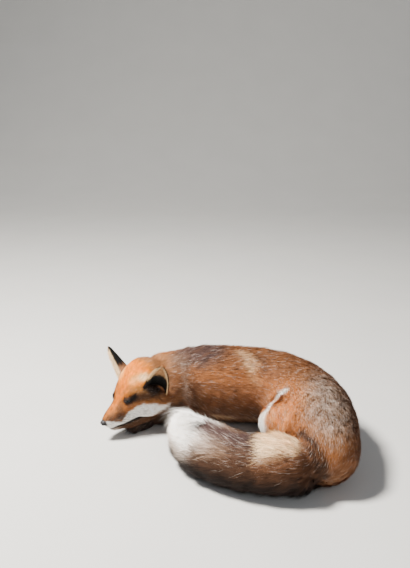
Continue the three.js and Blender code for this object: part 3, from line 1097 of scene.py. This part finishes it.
def head_colour(local, lid_distance, lip_distance, jaw):
    """Ginger over the top, rust on the cheek, white along the lip and dark lids, with painted shade in
    umber and soot on the cheek, round the eye, in the ear's hollow and under the jaw."""
    both = on_left(local)
    x, y, z = both.T
    fine = ripple(local, 0.007, 7)
    coarse = ripple(local, 0.020, 8)
    side = smooth(0.034, 0.004, z - 0.35 * (y - 0.02))
    behind = smooth(-0.118, -0.142, x + 0.006 * fine)
    inside = np.minimum(np.interp(-x, *WHITE_TOP.T) - z, z - np.interp(-x, *WHITE_FOOT.T))
    white = smooth(-0.0015, 0.0020, inside + 0.0012 * fine) * smooth(-0.128, -0.118, x)
    white = np.where(jaw, 0, white * smooth(0.001, 0.005, y + 0.4 * np.maximum(-z, 0)))
    throat = np.where(jaw, 1, smooth(0.001, -0.003, z - np.interp(-x, *WHITE_FOOT.T)))
    by_eye = np.maximum(smooth(0.0065, 0.0022, lid_distance), band(both, EYE_CORNER, 6, 0.9))
    colour = painted(plain(GINGER, local), [
        (TAWNY, 0.25 * coarse + 0.62 * smooth(-0.090, -0.055, x)),
        (RUST, 0.75 * side),
        (RUST, 0.45 * smooth(-0.045, -0.02, x) * smooth(0.004, 0.012, y)),
        # painted shade, umber, on the lower side of the head behind the eye
        (UMBER, 0.55 * smooth(-0.085, -0.115, x) * side),
        (RUST, 0.85 * behind),
        (UNDERFUR, 0.25 * behind),
        # between eye, ear and cheek: a grey-brown temple, painted shade in umber on the cheek, below the
        # ear and over the eye, and rust below the eye
        (GREY_BROWN, 0.70 * band(both, TEMPLE, 22, 0.8) * (0.85 + 0.25 * fine)),
        (UMBER, 0.90 * band(both, CHEEK_SHADE_LINE, 18, 0.8)),
        (UMBER, 0.55 * band(both, BELOW_EAR_SHADE, 22, 0.9)),
        (UMBER, 0.40 * blot(both, (-63, 25, 32), (14, 9, 7), 0.7)),
        (RUST, 0.75 * band(both, BELOW_EYE, 8, 0.9)),
        # before the ear and inside it, and over the brow, with painted shade: soot where the head lies
        # within the ear's hollow, and rust in the brow's furrow
        (CREAM, 0.60 * band(both, CROWN_STREAK, 17, 0.9) * (0.85 + 0.25 * fine)),
        (CREAM, 0.90 * blot(both, (-104, 42, 55), (12, 10, 8), 0.6)),
        # painted shade in the ear's hollow
        (SOOT, 0.96 * in_ear_hollow(local)),
        (RUST, 0.70 * band(both, BROW_FURROW_SHADE, 4, 0.9)),
        # muzzle, lip, and the jaw under painted shade
        (UMBER, 0.72 * band(both, TEAR_LINE, 13, 0.9) * (0.9 + 0.2 * fine)),
        (UMBER, 0.80 * band(both, WHISKER_BED, 17, 0.9) * (0.85 + 0.35 * fine)),
        (WHITE, white),
        # painted shade, umber, over the jaw, with silver at the chin's front
        (UMBER, 0.90 * throat * (1 - white)),
        (SILVER, 0.75 * throat * (1 - white) * smooth(-0.032, -0.018, x)),
        # lids with painted shade round them, lip line and the nose's edge
        # soot: the dark lids, with painted shade round the eye
        (SOOT, 0.85 * by_eye),
        (BLACK, smooth(0.0022, 0.0012, lid_distance)),
        (BLACK, 0.9 * smooth(0.0034, 0.0014, lip_distance) * smooth(-0.105, -0.085, x)),
        (BLACK, smooth(1.45, 1.15, from_leather(local))),
    ])
    return colour, 0.10 * (1 - white)


def ear_place(points, side):
    """Share of the ear's height, share of the way round from the middle of its back (-1 is the front rim),
    and the directions round it to the front rim and into its hollow."""
    root, axes = ear_frame(side)
    placed = (points - root) @ axes
    rise = placed[:, 1] / EAR_HEIGHT
    up = np.clip(rise, 0, 1)
    roll = np.radians(EAR_ROLL[0] + (EAR_ROLL[1] - EAR_ROLL[0]) * up)
    half = EAR_HALF_WIDTH * np.sqrt(np.clip(1 - up ** 1.7, 0.02, 1))
    bend = half / np.sin(roll)
    turned = np.arctan2(placed[:, 0], bend - placed[:, 2])
    forward = -side * np.stack([np.cos(turned), 0 * rise, np.sin(turned)], 1)
    inward = np.stack([-placed[:, 0], 0 * rise, bend - placed[:, 2]], 1)
    return rise, side * turned / roll, forward @ axes.T, inward @ axes.T


def ear_fringe(points, side):
    """1 along the front rim of an ear, where its longer hair grows."""
    rise, angle, _, _ = ear_place(points, side)
    return smooth(0.60, 0.92, -angle) * smooth(1.02, 0.80, rise)


def ear_colour(points, normals, side):
    """Black behind, rust at the root, cream round the rim and in front, and painted shade: black in
    the depth, and dark on the near ear's lower front rim.
    """
    rise, angle, _, inward = ear_place(points, side)
    inner = (normals * inward).sum(1) > 0
    fine = ripple(points, 0.006, 5)
    near = side > 0
    front = smooth(0.72, 0.82, -angle + 0.03 * fine)
    back = painted(plain(RUST, points), [
        (BLACK, smooth(0.24, 0.44, rise + 0.05 * fine)),
        (CREAM, 0.92 * front * smooth(0.97, 0.88, rise)),
        # painted shade on the near ear's lower front rim
        (UMBER, near * front * smooth(0.48, 0.36, rise + 0.03 * fine)),
        (SOOT, 0.80 * near * front * smooth(0.42, 0.32, rise) * smooth(0.04, 0.18, rise)),
    ])
    # painted shade, black, in the depth of the hollow, further down on the near ear
    deep = near * smooth(0.54, 0.42, rise + 0.04 * fine) * smooth(-0.02, 0.12, rise)
    depth = smooth(0.70, 0.48, rise + 0.04 * fine) * np.maximum(smooth(0.95, 0.74, -angle), deep)
    depth = depth * smooth(1.02, 0.90, angle)
    lining = painted(plain(FAWN, points), [
        (GREY_BROWN, 0.65),
        (CREAM, 0.30 + 0.60 * smooth(0.45, 0.85, abs(angle))),
        (BLACK, depth),
    ])
    return np.where(inner[:, None], lining, back), np.zeros(len(points))


def leg_colour(points, paw):
    """Dark stockings, darkest on the paws."""
    colour = paint(plain(UMBER, points), SOOT, 0.35 + 0.4 * paw + 0.15 * ripple(points, 0.02, 6))
    return colour, np.full(len(points), 0.15)


def markings(points, normals, region, mesh):
    """The coat's colour at each point of the skin, and how much pale and dark hair is mixed in."""
    colour, speck = body_colour(points, normals)

    def lay(where, made):
        colour[where], speck[where] = made

    tail = is_in(region, *TAIL)
    lay(tail, brush_colour(points[tail]))
    head = is_in(region, *HEAD)
    lids = stored(mesh, "lid_distance")[head]
    lips = stored(mesh, "lip_distance")[head]
    lay(head, head_colour(from_nose(points[head]), lids, lips, is_in(region[head], "lower_jaw")))
    for name, side in EARS.items():
        ear = is_in(region, name)
        lay(ear, ear_colour(points[ear], normals[ear], side))
    legs = is_in(region, *STOCKINGS)
    lay(legs, leg_colour(points[legs], is_in(region[legs], *FOREPAWS, *HIND_FEET)))
    return colour, speck


# ---- the coat ------------------------------------------------------------------------------------

PATCH = 0.003                   # how wide one tuft's patch is on the unwrap of the skin
FLOOR_CLEARANCE = 0.0006
ROOT_SINK = 0.0004              # how deep a tuft is rooted in the skin
SHOWING = 0.75                  # how far along a hair lies the part that shows
ROOT_WIDTH = 0.7                # of a tuft, by its full width
TAPER = 0.8                     # how its width runs out towards the tip
OUT_OF_SHADE = (0, 0.5)         # where along a tuft its shaded base gives way to its colour
TO_TIP = (0.35, 0.9)            # and its colour to that of its tip
SPACING = 0.0035                # tufts thin out as the coat's depth, with this added
CLUMP = 0.010                   # how wide the clumps are that the tufts stand and shade in
SWELL = 0.018                   # and the swells in the way they are combed
STRAY = 0.15                    # how far tufts stray from the lie, in radians
COMBED = 0.22                   # and how far they turn with the swells
LENGTHS = (0.7, 1.25)           # shortest and longest tuft, by the hair's length there
HEIGHTS = (0.50, 0.98)          # lowest and highest, by the coat's depth there
CLUMP_HEIGHT = 0.12             # how much higher a clump's middle stands
HEIGHT_LIMITS = (0.3, 1.02)
WIDTHS = (0.7, 1.3)
SHORT_WIDTH = 0.55              # how much narrower the tufts of the shortest hair are
FACE_HAIR = (0.001, 0.010)      # depth of a coat with the narrowest and with the full width
ROLL = 0.45                     # how far tufts are rolled about their length, in radians
SWAY = 0.07                     # how far their tips are aside, by their length
ROOT_SHADE = 0.60               # how dark a tuft's root is by its colour
SKIN_SHADE = 0.72               # and the skin that shows between the tufts
TUFT_TONE = 0.11                # how unlike in brightness the tufts are one by one,
CLUMP_TONE = 0.13               # from clump to clump
FLECK_TONE = 0.10               # and in flecks
FLECK = 0.005                   # of this width
PALE_ENDS = 1.15                # how much paler a tuft's tip is
PALE_TIP = 0.75                 # how much silver there is in the tip of a pale guard hair
DARK_TIP = 0.65                 # and soot in a dark one's
PALE_SHARE = 0.32               # of pale-tipped tufts where the coat is fully mixed
DARK_SHARE = 0.34               # and of dark-tipped ones
AT_ROOT = ("point", "normal", "lie", "bend", "depth", "reach", "colour", "speck")


def mesh_from(name, points, corners, starts):
    mesh = bpy.data.meshes.new(name)
    mesh.vertices.add(len(points))
    mesh.vertices.foreach_set("co", points.astype(np.float32).ravel())
    mesh.loops.add(len(corners))
    mesh.loops.foreach_set("vertex_index", corners.astype(np.int32))
    mesh.polygons.add(len(starts))
    mesh.polygons.foreach_set("loop_start", starts.astype(np.int32))
    mesh.update(calc_edges=True)
    return mesh


def weave(name, material, segments, tuft):
    """One mesh of tapering tufts. `tuft` holds an array for each of their qualities: root, normal,
    lie, bend, length, height, width, roll, sway, base, colour, tip and uv."""
    count = len(tuft["root"])
    side = np.cross(tuft["normal"], tuft["lie"])
    side = unit(side * np.cos(tuft["roll"])[:, None] + tuft["normal"] * np.sin(tuft["roll"])[:, None])
    rows, tones, patches, fronts = [], [], [], []
    for step in range(segments + 1):
        s = step / segments
        forward = (tuft["length"] * s)[:, None]
        rise = (tuft["height"] * (1 - (1 - s) ** 2) - ROOT_SINK * (1 - s))[:, None]
        bend = tuft["bend"][:, None]
        raised = unit(tuft["normal"] + tuft["lie"] * bend * forward)
        spine = tuft["root"] + tuft["lie"] * forward - tuft["normal"] * bend * forward ** 2 / 2
        spine = spine + raised * rise + side * (tuft["sway"] * s ** 2)[:, None]
        half = side * (tuft["width"] * (ROOT_WIDTH, 1.0)[step > 0] * (1 - s) ** TAPER / 2)[:, None]
        tone = tuft["colour"] + (tuft["tip"] - tuft["colour"]) * smooth(*TO_TIP, s)
        tone = tuft["base"] + (tone - tuft["base"]) * smooth(*OUT_OF_SHADE, s)
        for sign in ((1, -1) if step < segments else (0,)):
            rows.append(spine + sign * half)
            tones.append(tone)
            patches.append(tuft["uv"] + PATCH * np.array([sign / 2, s - 0.5]))
            fronts.append(raised)
    points = np.stack(rows, 1)
    points[..., 2] = np.maximum(points[..., 2], FLOOR_CLEARANCE)
    each = 2 * segments + 1
    quads = [[2 * k, 2 * k + 1, 2 * k + 3, 2 * k + 2] for k in range(segments - 1)]
    pattern = np.array([corner for quad in quads for corner in quad] + [each - 3, each - 2, each - 1])
    starts = np.array([4 * k for k in range(segments)])
    corners = (np.arange(count)[:, None] * each + pattern).ravel()
    first = (np.arange(count)[:, None] * len(pattern) + starts).ravel()
    mesh = mesh_from(name, points.reshape(-1, 3), corners, first)
    store(mesh, "coat_colour", np.stack(tones, 1).reshape(-1, 3), "FLOAT_COLOR")
    uv = np.stack(patches, 1).reshape(-1, 2)[corners]
    mesh.uv_layers.new(name="OFBake").data.foreach_set("uv", uv.astype(np.float32).ravel())
    mesh.materials.append(material)
    mesh.shade_smooth()
    mesh.normals_split_custom_set_from_vertices(np.stack(fronts, 1).reshape(-1, 3))
    piece = add_object(name, mesh)
    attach(piece, "root")


def unwrapped(skin, chosen, triangles):
    """The chosen triangles of the skin, with where their corners lie on an unwrap of that patch."""
    used, corners = np.unique(triangles[chosen], return_inverse=True)
    corners = corners.reshape(-1, 3)
    mesh = mesh_from("patch", points_of(skin.data)[used], corners.ravel(), np.arange(0, corners.size, 3))
    patch = add_object("patch", mesh)
    pick(patch)
    with edit_mode():
        bpy.ops.mesh.select_all(action="SELECT")
        bpy.ops.uv.smart_project(angle_limit=math.radians(66), island_margin=0.004)
    uv = values_of(mesh.uv_layers.active.data, "uv", np.float32, 2)
    bpy.data.objects.remove(patch)
    bpy.data.meshes.remove(mesh)
    return used[corners], uv.reshape(-1, 3, 2).astype(float)


def roots_on(skin, held, regions, count, dice):
    """Picks places for tufts on the named regions, closer together where the hair is short."""
    triangles = held["triangles"]
    chosen = is_in(held["region"][triangles[:, 0]], *regions)
    corners, uv = unwrapped(skin, chosen, triangles)
    a, b, c = (held["point"][corners[:, k]] for k in range(3))
    area = np.linalg.norm(np.cross(b - a, c - a), axis=1)
    depth = held["depth"][corners].mean(1)
    bare = held["bare"][corners].max(1)
    weight = area * (1 - bare) / (depth + SPACING)
    place = np.searchsorted(np.cumsum(weight) / weight.sum(), dice.random(count))
    place = np.minimum(place, len(weight) - 1)
    first = np.sqrt(dice.random(count))
    second = dice.random(count)
    share = np.stack([1 - first, first * (1 - second), first * second], 1)

    def at(values):
        picked = values[corners[place]]
        return (picked * share.reshape(share.shape + (1,) * (picked.ndim - 2))).sum(1)

    found = {name: at(held[name]) for name in AT_ROOT}
    found["uv"] = (uv[place] * share[..., None]).sum(1)
    return found


def under_the_coat(colour, depth):
    """A shaded colour turned towards that of the underfur where the coat is deep and not white."""
    not_white = smooth(0.42, 0.18, colour.min(1))
    return paint(colour, UNDERFUR, 0.70 * smooth(0.002, 0.006, depth) * not_white)


def coat(skin, held, name, regions, material, count, segments, width, seed):
    """Covers regions of the skin with tufts that follow the lie of the coat."""
    dice = np.random.default_rng(seed)
    at = roots_on(skin, held, regions, count, dice)
    point, depth, reach = at["point"], at["depth"], at["reach"]
    normal = unit(at["normal"])
    lie = unit(at["lie"])
    clump = ripple(point, CLUMP, seed + 1)
    yaw = dice.normal(0, STRAY, count) + COMBED * ripple(point, SWELL, seed + 2)
    lie = unit(lie * np.cos(yaw)[:, None] + np.cross(normal, lie) * np.sin(yaw)[:, None])
    length = reach * dice.uniform(*LENGTHS, count)
    height = depth * np.clip(dice.uniform(*HEIGHTS, count) + CLUMP_HEIGHT * clump, *HEIGHT_LIMITS)
    flecks = ripple(point, FLECK, seed + 3)
    tone = dice.normal(1, TUFT_TONE, count) + CLUMP_TONE * clump + FLECK_TONE * flecks
    colour = at["colour"] * tone[:, None]
    tip = colour * PALE_ENDS
    kind = dice.random(count)
    pale = kind < PALE_SHARE * at["speck"]
    dark = kind > 1 - DARK_SHARE * at["speck"]
    tip[pale] = (1 - PALE_TIP) * tip[pale] + PALE_TIP * SILVER
    tip[dark] = (1 - DARK_TIP) * tip[dark] + DARK_TIP * SOOT
    fineness = SHORT_WIDTH + (1 - SHORT_WIDTH) * smooth(*FACE_HAIR, depth)
    weave(name, material, segments, {
        "root": point, "normal": normal, "lie": lie, "bend": at["bend"], "length": length, "height": height,
        "width": width * dice.uniform(*WIDTHS, count) * fineness,
        "roll": dice.normal(0, ROLL, count), "sway": SWAY * length * dice.normal(0, 1, count),
        "base": under_the_coat(ROOT_SHADE * colour, depth), "colour": colour, "tip": tip, "uv": at["uv"],
    })


# one line for each piece: regions it covers, slot, tufts, segments in a tuft and width of a tuft
COATS = [
    ("coat_face", ["head", "lower_jaw"], "face_coat", 62000, 2, 0.0010),
    ("coat_neck", ["neck"], "coat", 32000, 2, 0.0012),
    ("coat_chest", ["chest"], "coat", 56000, 2, 0.0012),
    ("coat_loins", ["loins"], "coat", 44000, 2, 0.0012),
    ("coat_rump", ["rump", "thigh_right"], "coat", 62000, 2, 0.0012),
    ("coat_thigh", ["thigh_left", "shank_left"], "coat", 34000, 2, 0.0011),
    ("brush_near_root", ["tail_root"], "brush", 30000, 3, 0.0012),
    ("brush_middle", ["tail_middle"], "brush", 30000, 3, 0.0012),
    ("brush_white_tip", ["tail_tip"], "brush_tip", 28000, 3, 0.0012),
    ("stockings", STOCKINGS, "stocking", 26000, 2, 0.0008),
    ("ear_coats", list(EARS), "ear_coat", 20000, 2, 0.0007),
]

# length of the hair by the coat's depth, and what is added to that
BODY_HAIR = (1.45, 0.0032)
BRUSH_HAIR = (1.15, 0.010)
# on the ears, and what is added at their front rims
EAR_HAIR = (0.0042, 0.0032)
EAR_DEPTH = (0.0012, 0.0010)
BARE_HOLLOW = 0.75              # how much thinner the coat is inside the ears' openings
BARE_NOSE = 1.05                # no hair this near the nose leather, by its reach
BARE_LIDS = 0.0016              # or this near the slit of the eye


def hair_length(points, region, depth):
    """How long the hair is: longest on the brush, shorter again at its end."""
    reach = BODY_HAIR[0] * depth + BODY_HAIR[1]
    reach *= 1 + 0.20 * blot(from_nose(points), (-150, 0, 35), (35, 60, 50))
    tail = is_in(region, *TAIL)
    share = follow(BRUSH, points[tail])[0]
    reach[tail] = (BRUSH_HAIR[0] * depth[tail] + BRUSH_HAIR[1]) * smooth(1.5, 0.85, share)
    for name, side in EARS.items():
        ear = is_in(region, name)
        reach[ear] = EAR_HAIR[0] + EAR_HAIR[1] * ear_fringe(points[ear], side)
    return reach


def depth_on_skin(points, region, edges):
    """How deep the coat is over each point of the finished skin, thin on the ears and in their hollows."""
    depth = spread(coat_depth(points, region), edges, 8)[:, 0]
    depth *= 1 - BARE_HOLLOW * in_ear_hollow(from_nose(points))
    for name, side in EARS.items():
        ear = is_in(region, name)
        depth[ear] = EAR_DEPTH[0] + EAR_DEPTH[1] * ear_fringe(points[ear], side)
    return depth


def make_coat(skin, find_region, hair):
    """Colours the skin, covers it with the coat's pieces, and gives what is known at each of its points."""
    mesh = skin.data
    points, normals, edges = points_of(mesh), normals_of(mesh), edges_of(mesh)
    region = as_head(find_region(points), stored(mesh, "leaf") < 0.5)
    body = unit(spread(normals, edges, 3))
    depth = depth_on_skin(points, region, edges)
    lie = lie_of_coat(points, region, body, edges)
    reach = hair_length(points, region, depth)
    outer = points + body * depth[:, None]
    colour, speck = markings(outer + lie * (SHOWING * reach)[:, None], normals, region, mesh)
    nose = from_leather(from_nose(points)) < BARE_NOSE
    lids = (stored(mesh, "lid_distance") < BARE_LIDS) & ~is_in(region, *EARS)
    held = {
        "point": points, "normal": body, "lie": lie, "colour": colour, "speck": speck, "region": region,
        "triangles": triangles_of(mesh), "depth": depth, "reach": reach,
        "bend": bend_along(points, body, lie, edges), "bare": (nose | lids).astype(float),
    }
    between = under_the_coat(SKIN_SHADE * markings(outer, normals, region, mesh)[0], depth)
    store(mesh, "coat_colour", between, "FLOAT_COLOR")
    for seed, (name, regions, slot, count, segments, width) in enumerate(COATS):
        coat(skin, held, name, regions, hair, count, segments, width, 100 + 10 * seed)
    return held


# ---- eyes, nose, claws and whiskers --------------------------------------------------------------


def add_eye(name, side, material):
    """A smooth glass eyeball where the solid one is."""
    centre = middle(name)
    bpy.ops.mesh.primitive_uv_sphere_add(segments=32, ring_count=20, radius=EYE_RADIUS, location=centre)
    eye = bpy.context.object
    eye.name = name + "_glass"
    bpy.ops.object.transform_apply(location=True, rotation=True, scale=True)
    bpy.ops.object.shade_smooth()
    look = (EYE_LOOK * (1, side, 1)) @ HEAD_AXES.T
    outward = unit(points_of(eye.data) - np.array(centre))
    store(eye.data, "from_pupil", np.arccos(np.clip(outward @ look, -1, 1)) / math.pi, "FLOAT")
    eye.data.materials.append(material)
    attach(eye, "root")
    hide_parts(name)


# middles and reaches of the nose's shapes, in millimetres from its tip
NOSTRIL = (2.0, 3.1, 0.4)
NOSTRIL_HOLE = (4, 1.5, 1.3)
NOSTRIL_RIM = (4, 2.8, 2.6)
NOSTRIL_WING = (-2.0, 6.4, -0.6)
WING_CUT = (3.0, 2.4, 0.8)
NOSTRIL_DEPTH = 0.0044
WING_DEPTH = 0.0022
# place, breadth and height: the first by NOSTRIL_RIM, the second across the nose
NOSTRIL_LIP = (1, 0.3, 0.0005)
NOSE_GROOVE = (0, 0.0007, 0.0012)
NOSE_SQUARE = 0.80              # 1 is a plain oval, less is boxier
CUT_BACK = 0.42                 # how far the nose leans back below its middle
NARROWING = 45                  # how fast it narrows there, for each metre


def nose_shape(ball):
    """The nose leather from the points of a ball: flat above, cut back and narrow below."""
    local = np.sign(ball) * abs(ball) ** NOSE_SQUARE * NOSE_REACH + NOSE_MIDDLE
    below = np.minimum(local[:, 2] - NOSE_MIDDLE[2], 0)
    local[:, 0] += CUT_BACK * below
    local[:, 1] *= 1 + NARROWING * below

    def dip(centre, reach):
        return np.exp(-(by_reach(local, centre, reach) ** 2).sum(1))

    push = np.zeros(len(local))
    squeeze = np.zeros(len(local))
    for side in EARS.values():
        mirror = np.array([1, side, 1])
        push -= NOSTRIL_DEPTH * dip(NOSTRIL * mirror, NOSTRIL_HOLE)
        squeeze -= side * WING_DEPTH * dip(NOSTRIL_WING * mirror, WING_CUT)
        from_nostril = np.linalg.norm(by_reach(local, NOSTRIL * mirror, NOSTRIL_RIM), axis=1)
        push += ridge(from_nostril, *NOSTRIL_LIP)
    front = smooth(-0.003, 0.001, local[:, 0] - CUT_BACK * below)
    push -= ridge(local[:, 1], *NOSE_GROOVE) * smooth(0.003, 0, local[:, 2]) * front
    local[:, 0] += push
    local[:, 1] += squeeze
    return local


def add_nose(material):
    """The nose leather, with comma nostrils and a groove down to the lip."""
    bpy.ops.mesh.primitive_uv_sphere_add(segments=64, ring_count=44, radius=1)
    pad = bpy.context.object
    pad.name = "nose_leather"
    place_points(pad.data, in_scene(nose_shape(points_of(pad.data))))
    bpy.ops.object.shade_smooth()
    pad.data.materials.append(material)
    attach(pad, "root")
    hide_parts("nose_pad")


# one line for each paw: wrist, heading in degrees, length to the middle toes and half its width
TOES = [
    ((-0.144, 0.088), 212, 0.062, 0.013),
    ((-0.144, 0.128), 206, 0.062, 0.013),
    ((0.148, -0.098), 171, 0.112, 0.015),
    ((0.118, 0.022), 184, 0.112, 0.015),
]
CLAW_LENGTH = 0.0095
CLAW_THICK = 0.0032
CLAW_HEIGHT = 0.0075
CLAW_HIDDEN = 0.0035            # how far back of the toe's end the claw starts
CLAW_CUTS = 4
CLAW_HOOK = 0.42                # how far it drops by its end, as a share of its length
CLAW_FLAT = 0.75                # its width by its height
TOE_STEP = 0.52                 # from toe to toe, by half the paw's width
OUTER_TOE = 0.93                # an outer toe's reach by a middle one's

# roots of the whiskers from the nose tip: the first, and steps along a row and down to the next
FIRST_WHISKER = MM * np.array([-16, 11.5, 0.5])
ALONG_ROW = MM * np.array([-5.5, 1.6, 0])
NEXT_ROW = MM * np.array([-2, 0, -3.6])
ROWS = 3
WHISKER_RADII = (0.00027, 0.00003)      # at root and tip

WISPS = 260                     # at most
PLACES_TRIED = 24000            # on the end of the brush, of which those near the wisps' line are used


def tube(name, material, lines, radii, sides):
    """One mesh of thin tapering tubes along lines of points."""
    around = np.linspace(0, 2 * math.pi, sides, endpoint=False)
    points = []
    corners = []
    first = []
    total = 0
    for line, radius in zip(lines, radii):
        heading = unit(np.gradient(line, axis=0))
        side = unit(np.cross(heading, (0.13, 0.21, 0.97)))
        other = np.cross(heading, side)
        ring = side[:, None] * np.cos(around)[:, None] + other[:, None] * np.sin(around)[:, None]
        points.append((line[:, None] + ring * radius[:, None, None]).reshape(-1, 3))
        for row in range(len(line) - 1):
            for k in range(sides):
                after = (k + 1) % sides
                base = total + row * sides
                corners.extend((base + k, base + sides + k, base + sides + after, base + after))
                first.append(4 * len(first))
        total += len(line) * sides
    mesh = mesh_from(name, np.vstack(points), np.array(corners), np.array(first))
    mesh.shade_smooth()
    mesh.materials.append(material)
    piece = add_object(name, mesh)
    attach(piece, "root")


def one_claw():
    """A claw that points along +X from the origin, hooked down and flattened at its sides."""
    bpy.ops.mesh.primitive_cone_add(
        vertices=10, radius1=CLAW_THICK / 2, radius2=CLAW_THICK / 12, depth=CLAW_LENGTH,
        location=(CLAW_LENGTH / 2, 0, 0), rotation=(0, math.pi / 2, 0),
    )
    claw = bpy.context.object
    bpy.ops.object.transform_apply(location=True, rotation=True, scale=True)
    with edit_mode():
        for cut in range(CLAW_CUTS):
            place = CLAW_LENGTH * (cut + 1) / (CLAW_CUTS + 1)
            bpy.ops.mesh.select_all(action="SELECT")
            bpy.ops.mesh.bisect(plane_co=(place, 0, 0), plane_no=(1, 0, 0))
    shape = points_of(claw.data)
    along = shape[:, 0] / CLAW_LENGTH
    shape[:, 1] *= CLAW_FLAT
    shape[:, 2] = shape[:, 2] * (1 + 0.25 * (1 - along)) - CLAW_HOOK * CLAW_LENGTH * along ** 2
    place_points(claw.data, shape)
    bpy.ops.object.shade_smooth()
    return claw


def add_claws(material):
    """Four worn claws on each paw, from between the hair of the toes."""
    pattern = one_claw()
    shape = points_of(pattern.data)
    claws = []
    for (x, y), heading, reach, half in TOES:
        ahead = np.array([math.cos(math.radians(heading)), math.sin(math.radians(heading)), 0])
        aside = np.array([-ahead[1], ahead[0], 0])
        for toe in range(4):
            out = reach * (OUTER_TOE if toe in (0, 3) else 1) - CLAW_HIDDEN
            start = np.array([x, y, CLAW_HEIGHT]) + ahead * out + aside * (toe - 1.5) * half * TOE_STEP
            claw = add_object("claw", pattern.data.copy())
            place_points(claw.data, start + shape @ np.stack([ahead, aside, (0, 0, 1)]))
            claws.append(claw)
    bpy.data.objects.remove(pattern)
    pick(*claws)
    bpy.ops.object.join()
    piece = bpy.context.object
    piece.name = "claws"
    piece.data.materials.append(material)
    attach(piece, "root")


def add_whiskers(material):
    """Rows of stiff black whiskers that sweep back and out from the upper lip."""
    dice = np.random.default_rng(5)
    lines = []
    along = np.linspace(0, 1, 9)[:, None]
    thick, thin = WHISKER_RADII
    for side in EARS.values():
        for row in range(ROWS):
            for k in range(4 - row // 2):
                root = FIRST_WHISKER + k * ALONG_ROW + row * NEXT_ROW
                length = (38 + 9 * k - 5 * row) * MM * dice.uniform(0.85, 1.1)
                outward = unit(np.array([-0.75 - 0.1 * k, 0.85 - 0.25 * (side < 0), -0.12 - 0.14 * row]))
                line = root + outward * length * along
                line = line + np.array([-0.20, -0.06, -0.16]) * length * along ** 2
                lines.append(in_scene(line * (1, side, 1)))
    radius = (thick - thin) * (1 - along[:, 0]) ** 0.8 + thin
    tube("whiskers", material, lines, [radius] * len(lines), 5)


def add_wisps(skin, held, material):
    """Long white hairs that arch up and forward from the end of the brush."""
    dice = np.random.default_rng(11)
    at = roots_on(skin, held, ["tail_tip"], PLACES_TRIED, dice)
    root = at["point"] + 0.8 * at["normal"] * at["depth"][:, None]
    chosen = np.flatnonzero(band(root, WISPS_FROM, 22) > 0.5)[:WISPS]
    count = len(chosen)
    swing = dice.normal(0, 0.45, count) - 0.25
    heading = np.stack([-np.cos(swing), np.sin(swing), 0 * swing], 1)
    length = dice.uniform(0.018, 0.040, count)
    white = np.tile(WHITE, (count, 1))
    weave("brush_wisps", material, 7, {
        "root": root[chosen],
        "normal": np.tile((0.0, 0.0, 1.0), (count, 1)), "lie": heading,
        "bend": dice.uniform(14, 34, count), "length": length,
        "height": length * dice.uniform(0.45, 0.85, count), "width": dice.uniform(0.0006, 0.0010, count),
        "roll": dice.normal(0, 0.6, count), "sway": 0.12 * length * dice.normal(0, 1, count),
        "base": 0.70 * white, "colour": white, "tip": white, "uv": at["uv"][chosen],
    })


def main():
    add_camera()
    add_lights()
    add_floor(floor_material())
    find_region = region_finder()
    skin = make_skin(find_region, skin_material())
    hair = hair_material()
    held = make_coat(skin, find_region, hair)
    add_wisps(skin, held, hair)
    glass = eye_material()
    for name, side in (("eye_left", 1), ("eye_right", -1)):
        add_eye(name, side, glass)
    add_nose(leather_material())
    add_claws(claw_material())
    add_whiskers(whisker_material())


main()
